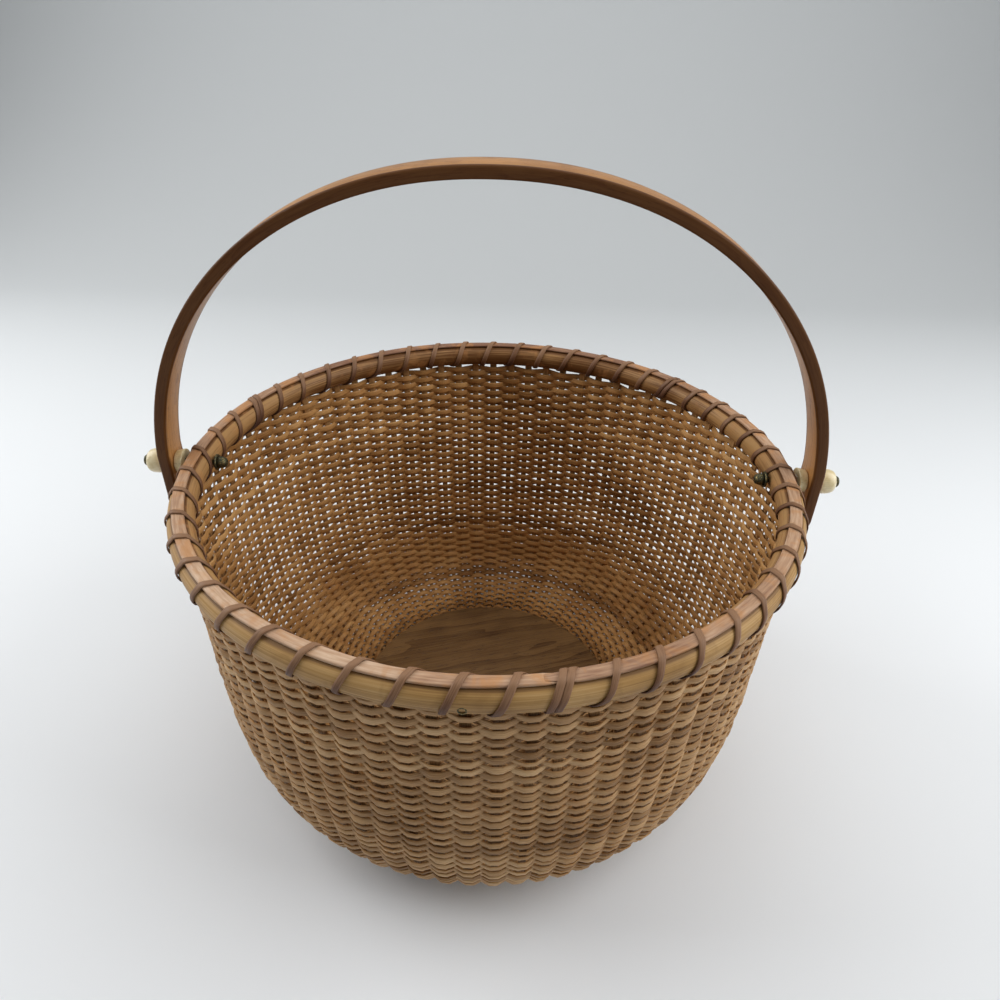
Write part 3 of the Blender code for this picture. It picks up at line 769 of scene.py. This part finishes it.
def stave_mesh(settings):
    """One stave swept up the wall, repeated round it by a spin, then each let drift a little."""
    lengths = np.linspace(0, WALL_LENGTH, 26)
    radius, height, _, _ = wall_at(lengths)
    foot, top = PLATE_RADIUS - GROOVE_DEPTH + 0.0004, RIM_HEIGHT + HOOP_HALF - CAP_GAP
    radius = np.concatenate([[foot], radius, [WALL_RADIUS]])
    height = np.concatenate([[GROOVE_HEIGHT], height, [top]])
    shares = np.concatenate([[0], lengths / WALL_LENGTH, [1]])
    half = (settings.stave_foot + (settings.stave_top - settings.stave_foot) * shares) / 2
    half_thick = settings.stave_thick / 2
    angle = 0.5 * STAVE_PITCH * np.ones_like(radius)
    centre = round_up(radius, angle, height)
    slope = directions(np.stack([radius, height], 1))
    out = round_up(slope[:, 1], angle, -slope[:, 0]) * half_thick
    out[-1] = round_up(np.array([1.0]), angle[:1], 0)[0] * half_thick
    aside = round_up(np.ones_like(radius), angle + math.pi / 2, 0) * half[:, None]
    mesh = swept("one_stave", centre, aside, out, oval(8, 5))
    shape = bmesh.new()
    shape.from_mesh(mesh)
    bmesh.ops.spin(
        shape,
        geom=shape.verts[:] + shape.edges[:] + shape.faces[:],
        cent=(0, 0, 0),
        axis=(0, 0, 1),
        angle=-(STAVE_COUNT - 1) * STAVE_PITCH,
        steps=STAVE_COUNT - 1,
        use_duplicate=True,
    )
    for corner in shape.verts:
        passed = math.atan2(corner.co.y, corner.co.x) / STAVE_PITCH - 0.5
        stave = round(passed) % STAVE_COUNT
        corner.co = Matrix.Rotation(STAVE_DRIFT[stave] * STAVE_PITCH, 3, "Z") @ corner.co
    return mesh_of(shape, "wall_staves")


def row_length(turns, rows):
    """How far up the wall the cane is after some turns; the rows open a little towards the rim."""
    share = turns / rows
    risen = (1 - ROW_OPENING) * share + ROW_OPENING * share**2
    return WEAVE_START + (WALL_LENGTH - WEAVE_MARGIN) * risen


def weave_mesh(settings, first, last):
    """The cane from one turn to another, over and under the staves, packed unevenly."""
    rows = settings.rows
    marks = np.arange(first * STAVE_COUNT * POINTS_A_STAVE, last * STAVE_COUNT * POINTS_A_STAVE + 1)
    passed = marks / POINTS_A_STAVE
    turns = passed / STAVE_COUNT
    share = turns / rows
    angle = angle_at(passed)
    crossings = np.arange(rows * STAVE_COUNT + 2)
    shifts = np.random.default_rng(5).normal(0, 1, (4, len(crossings)))
    shift_up, shift_out, shift_roll, shift_width = (
        np.interp(passed, crossings, values) for values in shifts
    )
    length = row_length(turns, rows)
    length += ROW_WANDER * ripple(angle, share, 3) * np.minimum(1, 12 * share * (1 - share))
    length += CROSSING_WANDER * shift_up
    radius, height, out, up = wall_at(np.clip(length, 0, WALL_LENGTH))
    fold = 2 * np.abs(np.mod(passed, 2) - 1) - 1
    swing = settings.swing * np.clip(FOLD_SHARPNESS * fold, -1, 1) + SWING_WANDER * shift_out
    centre = round_up(radius + swing * out, angle, height + swing * up)
    along_wall, normal = round_up(-up, angle, out), round_up(out, angle, up)
    roll = ROLL_WANDER * shift_roll
    cosine, sine = np.cos(roll)[:, None], np.sin(roll)[:, None]
    pitch = (WALL_LENGTH - WEAVE_MARGIN) / rows * (1 - ROW_OPENING + 2 * ROW_OPENING * share)
    width = settings.strand_share * pitch * (1 + WIDTH_WANDER * shift_width)
    taper = np.minimum(1, np.minimum(turns, rows - turns) * 4 + 0.25)
    across = (width * taper / 2)[:, None] * (along_wall * cosine + normal * sine)
    outward = settings.strand_thick / 2 * (normal * cosine - along_wall * sine)
    cane_tones = random.normal(0, CANE_TONE_SPREAD, 3 * rows)
    tone = cane_tones[np.floor(turns / TURNS_A_CANE).astype(int)]
    tone = tone + PATCH_TONE_SPREAD * ripple(angle, share, 8, (1, 7))
    return swept("cane_weave", centre, across, outward, CANE_SECTION, tone)


# Rim pieces


def hoop_outline(thick, side):
    """Corners of a half-round hoop, as places out from the wall's middle and up from the rim's."""
    turns = np.linspace(-math.pi / 2, math.pi / 2, 13)
    out = thick * np.abs(rounded(np.cos(turns), 2 / HOOP_SQUARENESS))
    up = HOOP_HALF * rounded(np.sin(turns), 2 / HOOP_SQUARENESS)
    return [(side * (HOOP_GAP / 2 + a), b) for a, b in zip(out, up)]


def hoop_mesh(name, thick, side, seed):
    """A hoop, a little uneven in its thickness and height."""
    out_wander, height_wander = 0.012, 0.006
    profile = [(WALL_RADIUS + a, RIM_HEIGHT + b) for a, b in hoop_outline(thick, side)]
    mesh = spun(name, profile, "Z", STAVE_COUNT * 4)
    x, y, z = places_of(mesh).T
    angle = np.arctan2(y, x)
    offset = np.abs(np.hypot(x, y) - WALL_RADIUS) - HOOP_GAP / 2
    bulge = 1 - out_wander * (1 + ripple(angle, 0, seed, (2, 15)))
    radius = WALL_RADIUS + side * (HOOP_GAP / 2 + offset * bulge)
    squeeze = 1 - height_wander * (1 + ripple(angle, 0, seed + 1, (2, 12)))
    place = round_up(radius, angle, RIM_HEIGHT + (z - RIM_HEIGHT) * squeeze)
    mesh.vertices.foreach_set("co", place.ravel())
    return mesh


def cap_outline():
    half, low = CAP_WIDTH / 2, HOOP_HALF + CAP_GAP
    flat, high = half * 0.8, low + CAP_THICK
    return [(-half, low), (-flat, high), (flat, high), (half, low)]


def tack_mesh():
    """The rolled edge of a tack's head, sunk in the outer hoop low on the front."""
    face = WALL_RADIUS + HOOP_GAP / 2 + 0.95 * OUTER_THICK
    inner, outer, low, high = 0.0012, 0.0017, face - 0.0012, face + 0.0003
    profile = [(inner, low), (inner, high), (outer, high), (outer, low)]
    mesh = spun("hoop_tack", profile, "X", 20, 0.00012, (0, 0, RIM_HEIGHT - 0.0016))
    mesh.transform(Matrix.Rotation(TACK_ANGLE, 4, "Z"))
    return mesh


def even_passage(turn):
    """Staves passed where a turn of the binding starts, with the slow drift of its spacing."""
    even = (turn - 0.5) * STAVE_COUNT / LASH_TURNS
    return even - LASH_DRIFT * math.sin(even * STAVE_PITCH)


CAP_SPLICE = even_passage(LASH_FIRST_SPLICE)
# Tone along the cap, by share of the way round from the splice: its own changes of tone, with
# painted shade over the back (0.5) and a painted highlight on the right (0.2)
CAP_TONES_AND_PAINTED_LIGHT = {0: -0.5, 0.1: 0.0, 0.2: 0.4, 0.5: -1.3, 0.7: -0.1, 0.85: 0.5, 1: 0.2}
TACK_ANGLE = math.radians(-91.1)


def cap_mesh():
    """The cap strip, laid once round from a splice at the front, its ends thinned to overlap."""
    overlap, thinnest, narrowest = 1.1, 0.16, 0.55
    passed = np.linspace(CAP_SPLICE, CAP_SPLICE + STAVE_COUNT + overlap, STAVE_COUNT * 4)
    angle = passed * STAVE_PITCH
    from_start = passed - CAP_SPLICE
    from_end = passed[-1] - passed
    nearest = np.minimum(from_start, from_end) / overlap
    thin = np.clip(nearest, thinnest, 1)
    half_thick = CAP_THICK / 2 * thin
    low = RIM_HEIGHT + HOOP_HALF + CAP_GAP
    lift = np.where(from_start < overlap, CAP_THICK * (1 - thin), 0)
    height = low + half_thick + lift * 0.9
    radius = WALL_RADIUS + 0.00022 * ripple(angle, 0, 22, (2, 13))
    centre = round_up(radius, angle, height)
    half_width = CAP_WIDTH / 2 * (0.96 + 0.04 * ripple(angle, 0, 21, (3, 22)))
    half_width *= np.minimum(1, nearest * 0.5 + narrowest)
    across = round_up(np.ones_like(angle), angle, 0) * half_width[:, None]
    out = np.zeros_like(centre)
    out[:, 2] = half_thick
    section = oval(12, 3.0)
    section[section[:, 1] < 0, 1] = -1
    section = section[np.argsort(np.arctan2(section[:, 1], section[:, 0]))]
    # The cap's own tone with painted shade at the back and a painted highlight on the right
    tone = np.interp(from_start / STAVE_COUNT, list(CAP_TONES_AND_PAINTED_LIGHT), list(CAP_TONES_AND_PAINTED_LIGHT.values()))
    return swept("rim_cap_strip", centre, across, out, section, tone)


def hull(points):
    """Convex outline of points, turning from the lowest outward and over."""
    points = sorted(map(tuple, points))
    chains = []
    for run in (points, points[::-1]):
        chain = []
        for point in run:
            while len(chain) > 1:
                (ax, ay), (bx, by) = chain[-2], chain[-1]
                if (bx - ax) * (point[1] - by) - (by - ay) * (point[0] - bx) > 1e-15:
                    break
                chain.pop()
            chain.append(point)
        chains.append(chain[:-1])
    return np.array(chains[0] + chains[1])


def lash_path(settings, samples):
    """The loop that the binding cane makes round the rim's section, from under the wall outward."""
    corners = hoop_outline(OUTER_THICK, 1) + hoop_outline(INNER_THICK, -1) + cap_outline()
    gap = settings.lash_thick / 2 + 0.00008
    turns = np.arange(24) * math.pi / 12
    swollen = [(a + gap * math.cos(t), b + gap * math.sin(t)) for a, b in corners for t in turns]
    loop = hull(swollen)
    start = np.array((0, loop[:, 1].min()))
    order = np.argsort(np.mod(np.arctan2(loop[:, 1], loop[:, 0]) + math.pi / 2, 2 * math.pi))
    loop = np.concatenate([[start], loop[order], [start]])
    run = distances(loop)
    shares = np.linspace(0, run[-1], samples)
    return np.stack([np.interp(shares, run, loop[:, n]) for n in (0, 1)], 1)


def snapped_passage(turn, settings, stave_top):
    """Where the binding passes under the rim, moved between two staves."""
    even = even_passage(turn)
    spacing = WALL_RADIUS * STAVE_PITCH
    clearance = 0.0004
    slack = 0.5 - (stave_top / 2 + settings.lash_width / 2 + clearance) / spacing
    middle = round(even)
    return min(max(even, middle - slack), middle + slack)


def lash_mesh(settings, stave_top, number):
    """One length of the binding, tail to tail; its end turns lie beside those of its neighbours."""
    first, last = [
        LASH_FIRST_SPLICE + round(LASH_TURNS * n / LASH_LENGTHS) for n in (number, number + 1)
    ]
    loop = lash_path(settings, 27)
    shares = np.linspace(0, 1, len(loop))
    low = loop[0, 1]
    tail, tuck, pair_gap = low + 0.0045, low + 0.0015, 0.0005
    beside = (settings.lash_width + pair_gap) / 2 / (WALL_RADIUS * STAVE_PITCH)
    marks = [snapped_passage(turn, settings, stave_top) for turn in range(first, last + 2)]
    asides = np.zeros(len(marks))
    for place, aside in ((0, beside), (1, beside), (-2, -beside), (-1, -beside)):
        marks[place] = round(marks[place]) + aside
        asides[place] = aside
    rows = [(0, tail, marks[0]), (0, tuck, marks[0])]
    for place, turn in enumerate(range(first, last + 1)):
        aside = asides[place] if asides[place] == asides[place + 1] else 0
        even = even_passage(turn) + (even_passage(turn + 1) - even_passage(turn)) * shares + aside
        even += (marks[place] - even[0]) * np.clip(1 - shares / SNAP_SHARE, 0, 1)
        even += (marks[place + 1] - even[-1]) * np.clip(1 - (1 - shares) / SNAP_SHARE, 0, 1)
        rows += [(out, up, passed) for (out, up), passed in zip(loop[:-1], even[:-1])]
    rows += [(0, low, marks[-1]), (0, tuck, marks[-1]), (0, tail, marks[-1])]
    out, up, passed = np.array(rows).T
    angle = angle_at(passed - 0.5)
    slack = 0.01 * (1 + ripple(angle * 3, 0, 31 + number, (3, 40)))
    centre = round_up(WALL_RADIUS + out * (1 + slack), angle, RIM_HEIGHT + up * (1 + slack))
    path = directions(centre)
    turned = directions(np.stack([out, up], 1))
    outward = round_up(turned[:, 1], angle, -turned[:, 0])
    outward[:2] = round_up(np.array([1.0, 1.0]), angle[:2], 0)
    outward[-2:] = round_up(np.array([-1.0, -1.0]), angle[-2:], 0)
    across = np.cross(outward, path)
    across /= np.linalg.norm(across, axis=1)[:, None]
    outward = np.cross(path, across) * settings.lash_thick / 2
    half = settings.lash_width / 2 * (1 + 0.07 * ripple(angle * 2, 0, 41 + number, (3, 30)))
    # Uneven tone along the binding, plus painted light: lighter over the top of the rim, darker
    # under it
    tone = 0.3 * ripple(angle, 0, 51 + number, (3, 26)) + 0.8 * up / HOOP_HALF
    name = f"binding_cane_{number + 1}"
    return swept(name, centre, across * half[:, None], outward, CANE_SECTION, tone)


# Handle and ears


def handle_line():
    """Places across and up, and half widths, along the bent strip from tip to tip."""
    share = (SPRING + ARCH_DROP) / ARCH_RISE
    spring = math.asin(share ** (ARCH_POWER / 2))
    turns = np.linspace(spring, math.pi - spring, 141)
    power = 2 / ARCH_POWER
    widest = HALF_SPAN / math.cos(spring) ** power
    x = widest * rounded(np.cos(turns), power)
    height = RIM_HEIGHT - ARCH_DROP + ARCH_RISE * np.sin(turns) ** power
    tip = RIM_HEIGHT - LEG_TAIL
    half = HANDLE_WIDTH / 2
    round_shares = 1 - np.cos(np.linspace(0.12, math.pi / 2, 10))
    widths = half * np.sqrt(1 - (1 - round_shares) ** 2)
    leg = tip + half * round_shares
    straight = np.linspace(leg[-1], RIM_HEIGHT + SPRING, 8)[1:-1]
    leg = np.concatenate([leg, straight])
    widths = np.concatenate([widths, half * np.ones(len(straight))])
    x = np.concatenate([HALF_SPAN * np.ones(len(leg)), x, -HALF_SPAN * np.ones(len(leg))])
    height = np.concatenate([leg, height, leg[::-1]])
    return x, height, np.concatenate([widths, half * np.ones(len(turns)), widths[::-1]])


def boxed(half_width, half_thick, radius, segments=4):
    """A box section with rounded corners, in half sizes."""
    corners = []
    for n, (a, b) in enumerate(((1, 1), (-1, 1), (-1, -1), (1, -1))):
        for step in range(segments + 1):
            turn = math.pi / 2 * (n + step / segments)
            x = a * (half_width - radius) + radius * math.cos(turn)
            y = b * (half_thick - radius) + radius * math.sin(turn)
            corners.append((x / half_width, y / half_thick))
    return np.array(corners)


def handle_mesh():
    x, height, half = handle_line()
    centre = np.stack([x, 0 * x, height], 1)
    path = directions(centre)
    across = np.zeros_like(centre)
    across[:, 1] = half
    out = np.cross(path, (0, 1, 0)) * HANDLE_THICK / 2
    section = boxed(HANDLE_WIDTH / 2, HANDLE_THICK / 2, 0.0011)
    return swept("bent_handle", centre, across, out, section)


# Turned pieces, as radius and metres or share along the pivot from their seat outward
KNOB_BELLY = (
    (0.0054, 0.0),
    (0.0059, 0.07),
    (0.0062, 0.2),
    (0.0062, 0.5),
    (0.0060, 0.7),
    (0.0055, 0.86),
    (0.0047, 0.95),
    (0.0036, 1.0),
)
RIVET_DOME = (
    (0, 0.0045),
    (0.0012, 0.0044),
    (0.0021, 0.0039),
    (0.0027, 0.0028),
    (0.0030, 0.0015),
    (0.0030, 0.0),
)
RIVET_HEAD = ((0.0028, 0.0), (0.0028, 0.0010), (0.0024, 0.0016), (0.0014, 0.0019), (0, 0.0020))
WASHER_RADIUS, WASHER_THICK = 0.0040, 0.0008


def ear_profiles():
    """Profiles of the knob, collar, washer and rivet, as (radius, place from the middle)."""
    leg_in = HALF_SPAN - HANDLE_THICK / 2 - EAR_GAP
    leg_out = HALF_SPAN + HANDLE_THICK / 2 + EAR_GAP
    rim_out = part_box("collar_right")[0].x
    washer_low, washer_high = (corner.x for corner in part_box("rivet_washer_right"))
    dome = washer_low - EAR_GAP
    knob_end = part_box("knob_right")[1].x
    head = knob_end + EAR_GAP
    belly = [(radius, leg_out + (knob_end - leg_out) * share) for radius, share in KNOB_BELLY]
    return {
        "knob": [(BORE_RADIUS, leg_out), *belly, (BORE_RADIUS, knob_end)],
        "collar": [
            (BORE_RADIUS, rim_out),
            (0.0065, rim_out),
            (0.0062, rim_out + 0.0014),
            (0.0056, leg_in),
            (BORE_RADIUS, leg_in),
        ],
        "rivet_washer": [
            (BORE_RADIUS, washer_high),
            (WASHER_RADIUS, washer_high),
            (WASHER_RADIUS, washer_high - WASHER_THICK),
            (BORE_RADIUS, washer_high - WASHER_THICK),
        ],
        "rivet": [
            *((radius, dome - depth) for radius, depth in RIVET_DOME),
            (RIVET_RADIUS, dome),
            (RIVET_RADIUS, head),
            *((radius, head + rise) for radius, rise in RIVET_HEAD),
        ],
    }


# Operators


class BASKET_OT_shared_finishes(bpy.types.Operator):
    """Make the shader groups that the materials share"""

    bl_idname = "basket.shared_finishes"
    bl_label = "Shared finishes"

    def execute(self, context):
        cane_fibre_group()
        board_grain_group()
        rim_run_group()
        return {"FINISHED"}


class BASKET_OT_base(bpy.types.Operator):
    """Turn the dark wooden base with its groove for the staves"""

    bl_idname = "basket.base"
    bl_label = "Base"

    def execute(self, context):
        material = plate_material(context.scene.basket_wall)
        finish_mesh("base_board", plate_mesh(), material, ["base_plate"])
        return {"FINISHED"}


class BASKET_OT_staves(bpy.types.Operator):
    """Fan the staves out of the base and up to the rim"""

    bl_idname = "basket.staves"
    bl_label = "Staves"

    def execute(self, context):
        wall = context.scene.basket_wall
        colours = (wall.stave_dark, wall.stave_light, wall.cane_light, wall.cane_stain)
        fibre, relief = (0.0005, 0.03), 0.0001
        more = {"tone": False, "mellow": 0.5}
        material = strand_material("stave_wood", colours, 0.3, fibre, relief, **more)
        finish_mesh("wall_staves", stave_mesh(wall), material, STAVE_SPLINTS)
        return {"FINISHED"}


class BASKET_OT_weave(bpy.types.Operator):
    """Weave the cane up the wall in one spiral"""

    bl_idname = "basket.weave"
    bl_label = "Weave"

    def execute(self, context):
        wall = context.scene.basket_wall
        colours = (wall.cane_dark, wall.cane_middle, wall.cane_light, wall.cane_stain)
        fibre, relief = (0.00032, 0.012), 0.00012
        material = strand_material("weaving_cane", colours, 0.35, fibre, relief, mellow=0.7)
        marks = np.rint(np.linspace(0, wall.rows, WEAVE_BANDS + 1)).astype(int)
        nodes = [list(names) for names in np.array_split(WEAVERS, WEAVE_BANDS)]
        for number, (first, last, hidden) in enumerate(zip(marks, marks[1:], nodes), 1):
            mesh = weave_mesh(wall, first, last)
            finish_mesh(f"cane_weave_{number}", mesh, material, hidden)
        return {"FINISHED"}


class BASKET_OT_hoops(bpy.types.Operator):
    """Bend the two half-round hoops of the rim, and tack the outer one"""

    bl_idname = "basket.hoops"
    bl_label = "Rim hoops"

    def execute(self, context):
        rim = context.scene.basket_rim
        straw = (rim.straw_dark, rim.straw, rim.straw_light, rim.straw_dark)
        tan = (rim.tan_dark, rim.tan, rim.straw, rim.rind_orange)
        relief = 0.00015
        outer = ring_material("straw_hoop", straw, 0.25, (0.0005, 0.05), relief, coat=0.04)
        inner = ring_material("tan_hoop", tan, 0.4, (0.0006, 0.03), relief, coat=0.05)
        brass = brass_material(context.scene.basket_handle)
        finish_mesh("hoop_tack", tack_mesh(), brass)
        mesh = hoop_mesh("hoop_outside", OUTER_THICK, 1, 61)
        finish_mesh("hoop_outside", mesh, outer, ["outer_rim_hoop"])
        mesh = hoop_mesh("hoop_inside", INNER_THICK, -1, 71)
        finish_mesh("hoop_inside", mesh, inner, ["inner_rim_hoop"])
        return {"FINISHED"}


class BASKET_OT_cap(bpy.types.Operator):
    """Lay the cap strip over the hoops and the ends of the staves"""

    bl_idname = "basket.cap"
    bl_label = "Rim cap"

    def execute(self, context):
        rim = context.scene.basket_rim
        colours = (rim.rind_dark, rim.rind, rim.rind_light, rim.rind_orange)
        fibre, relief = (0.0012, 0.012), 0.0001
        more = {"coat": 0.08, "Stain start": 0.46}
        material = strand_material("cap_rind", colours, 0.6, fibre, relief, **more)
        finish_mesh("rim_cap_strip", cap_mesh(), material, ["rim_cap"])
        return {"FINISHED"}


class BASKET_OT_binding(bpy.types.Operator):
    """Wind the binding cane round the rim in three lengths"""

    bl_idname = "basket.binding"
    bl_label = "Rim binding"

    def execute(self, context):
        rim, stave_top = context.scene.basket_rim, context.scene.basket_wall.stave_top
        colours = (rim.lash_dark, rim.lash, rim.lash_light, rim.lash_light)
        fibre, relief = (0.0004, 0.01), 0.0001
        material = strand_material("binding_cane", colours, 0.2, fibre, relief, coat=0.04)
        for number, node in enumerate(LASHINGS):
            mesh = lash_mesh(rim, stave_top, number)
            finish_mesh(mesh.name, mesh, material, [node])
        return {"FINISHED"}


class BASKET_OT_handle(bpy.types.Operator):
    """Bend the handle's strip"""

    bl_idname = "basket.handle"
    bl_label = "Handle"

    def execute(self, context):
        material = handle_material(context.scene.basket_handle)
        finish_mesh("bent_handle", handle_mesh(), material, ["handle"], "handle")
        return {"FINISHED"}


class BASKET_OT_ears(bpy.types.Operator):
    """Turn the bone knobs and collars and the brass rivets and washers"""

    bl_idname = "basket.ears"
    bl_label = "Ears"

    def execute(self, context):
        settings = context.scene.basket_handle
        bone, brass = (bone_material(settings), "bone"), (brass_material(settings), "dark_brass")
        middle = (0, 0, RIM_HEIGHT)
        for kind, profile in ear_profiles().items():
            material, slot = bone if kind in ("knob", "collar") else brass
            ease = 0.0004 if kind == "collar" else 0.0
            for word, side in (("left", -1), ("right", 1)):
                mesh = spun(f"ear_{kind}_{word}", profile, "X", 40, ease, middle, side)
                finish_mesh(f"ear_{kind}_{word}", mesh, material, [f"{kind}_{word}"])
        return {"FINISHED"}


class BASKET_OT_stage(bpy.types.Operator):
    """Set up the floor, its curved back, the lights and the camera"""

    bl_idname = "basket.stage"
    bl_label = "Stage"

    def execute(self, context):
        stage = context.scene.basket_stage
        make_floor(stage)
        make_lights(stage)
        make_camera(stage)
        context.scene.view_settings.view_transform = "Standard"
        return {"FINISHED"}


# Stage


def make_floor(stage):
    """A floor that curves up behind, drawn as a line and extruded sideways."""
    shape = bmesh.new()
    front, reach, bend, top, half_width = -2.6, 0.75, 0.55, 1.9, 3
    line = [(front, 0), (reach, 0)]
    line += [
        (reach + bend * math.sin(t), bend * (1 - math.cos(t)))
        for t in np.linspace(0, math.pi / 2, 14)[1:]
    ]
    line.append((reach + bend, top))
    corners = [shape.verts.new((-half_width, y, z)) for y, z in line]
    edges = [shape.edges.new(pair) for pair in zip(corners, corners[1:])]
    made = bmesh.ops.extrude_edge_only(shape, edges=edges)["geom"]
    moved = [item for item in made if isinstance(item, bmesh.types.BMVert)]
    bmesh.ops.translate(shape, verts=moved, vec=(2 * half_width, 0, 0))
    bmesh.ops.recalc_face_normals(shape, faces=shape.faces)
    if shape.faces[0].normal.z < 0:
        bmesh.ops.reverse_faces(shape, faces=shape.faces)
    material, tree, shader = new_material("floor_paper", 0.9)
    # Painted shade: the floor darkens from its own colour to the backdrop's towards the curved
    # back, where the light falls off
    share = spread(tree, split(tree, object_place(tree))[1], 0.05, reach)
    colour = blended(tree, share, rgba(stage.floor), rgba(stage.floor_back_shade))
    feed(tree, shader, {"Base Color": colour, "Specular IOR Level": 0.1})
    floor = put_mesh("floor", mesh_of(shape, "floor"), material)


def make_lights(stage):
    """Three soft lamps, and a room that looks and mirrors paler than it lights."""
    white, fill = (1.0, 1.0, 1.0), stage.fill_power
    for name, place, size, power, colour in (
        ("key", (0.12, 0.16, 1.25), 1.3, stage.key_power, (1.0, 0.99, 0.97)),
        ("left_side", (-1.0, 0.20, 0.75), 0.9, 1.2 * fill, white),
        ("right_side", (1.0, -0.10, 0.75), 0.9, 1.15 * fill, white),
    ):
        lamp = bpy.data.lights.new(name, "AREA")
        lamp.shape = "SQUARE"
        lamp.size = size
        lamp.energy = power
        lamp.color = colour
        holder = put_object(name, lamp)
        holder.location = place
        to_basket = Vector((0, 0, 0.1)) - holder.location
        holder.rotation_euler = to_basket.to_track_quat("-Z", "Y").to_euler()
    world = bpy.data.worlds.new("room")
    world.use_nodes = True
    tree = world.node_tree
    air = tree.nodes["Background"]
    rays = add(tree, "ShaderNodeLightPath").outputs
    seen = maths(tree, "MAXIMUM", rays["Is Camera Ray"], rays["Is Glossy Ray"])
    seen = maths(tree, "MAXIMUM", seen, rays["Is Transmission Ray"])
    strength = spread(tree, seen, 0.0, 1.0, stage.air, stage.air_seen)
    feed(tree, air, {"Color": (0.95, 0.98, 1.0, 1), "Strength": strength})
    bpy.context.scene.world = world


def make_camera(stage):
    """Stands where the photograph was taken from: above the front, a little right of it."""
    camera = bpy.data.cameras.new("camera")
    camera.lens = stage.lens
    camera.sensor_width = 36
    camera.clip_end = 20
    holder = put_object("camera", camera)
    tilt, roll, twist = 0.5945, 0.0223, math.radians(1.0)
    rim_radius, to_right, down, away = 0.152, 0.0374, 0.0966, 2.4913
    right = Vector((1, 0, 0))
    up = Vector((0, math.sin(tilt), math.cos(tilt)))
    ahead = Vector((0, math.cos(tilt), -math.sin(tilt)))
    place = rim_radius * (to_right * right - down * up - away * ahead) + Vector((0, 0, RIM_HEIGHT))
    rolled = (
        math.cos(roll) * right + math.sin(roll) * up,
        math.cos(roll) * up - math.sin(roll) * right,
        -ahead,
    )
    axes = Matrix(rolled).transposed().to_4x4()
    turn = Matrix.Rotation(twist, 4, "Z")
    holder.matrix_world = turn @ Matrix.Translation(place) @ axes
    bpy.context.scene.camera = holder


class BASKET_PT_panel(bpy.types.Panel):
    """Lists the basket's pieces in the sidebar"""

    bl_label = "Cane Basket"
    bl_space_type = "VIEW_3D"
    bl_region_type = "UI"
    bl_category = "Basket"

    def draw(self, context):
        for operator in PIECE_OPERATORS:
            self.layout.operator(operator.bl_idname)
        for group in ("basket_wall", "basket_rim", "basket_handle", "basket_stage"):
            settings = getattr(context.scene, group)
            for name in settings.__annotations__:
                self.layout.prop(settings, name)


SETTINGS = {
    "basket_wall": BasketWallSettings,
    "basket_rim": BasketRimSettings,
    "basket_handle": BasketHandleSettings,
    "basket_stage": BasketStageSettings,
}
PIECE_OPERATORS = (
    BASKET_OT_shared_finishes,
    BASKET_OT_base,
    BASKET_OT_staves,
    BASKET_OT_weave,
    BASKET_OT_hoops,
    BASKET_OT_cap,
    BASKET_OT_binding,
    BASKET_OT_handle,
    BASKET_OT_ears,
    BASKET_OT_stage,
)


def register():
    for name, settings in SETTINGS.items():
        bpy.utils.register_class(settings)
        setattr(bpy.types.Scene, name, PointerProperty(type=settings))
    for operator in PIECE_OPERATORS:
        bpy.utils.register_class(operator)
    bpy.utils.register_class(BASKET_PT_panel)


def unregister():
    bpy.utils.unregister_class(BASKET_PT_panel)
    for operator in reversed(PIECE_OPERATORS):
        bpy.utils.unregister_class(operator)
    for name, settings in SETTINGS.items():
        delattr(bpy.types.Scene, name)
        bpy.utils.unregister_class(settings)


def main():
    register()
    bpy.ops.basket.shared_finishes()
    bpy.ops.basket.base()
    bpy.ops.basket.staves()
    bpy.ops.basket.weave()
    bpy.ops.basket.hoops()
    bpy.ops.basket.cap()
    bpy.ops.basket.binding()
    bpy.ops.basket.handle()
    bpy.ops.basket.ears()
    bpy.ops.basket.stage()


if __name__ == "__main__":
    main()
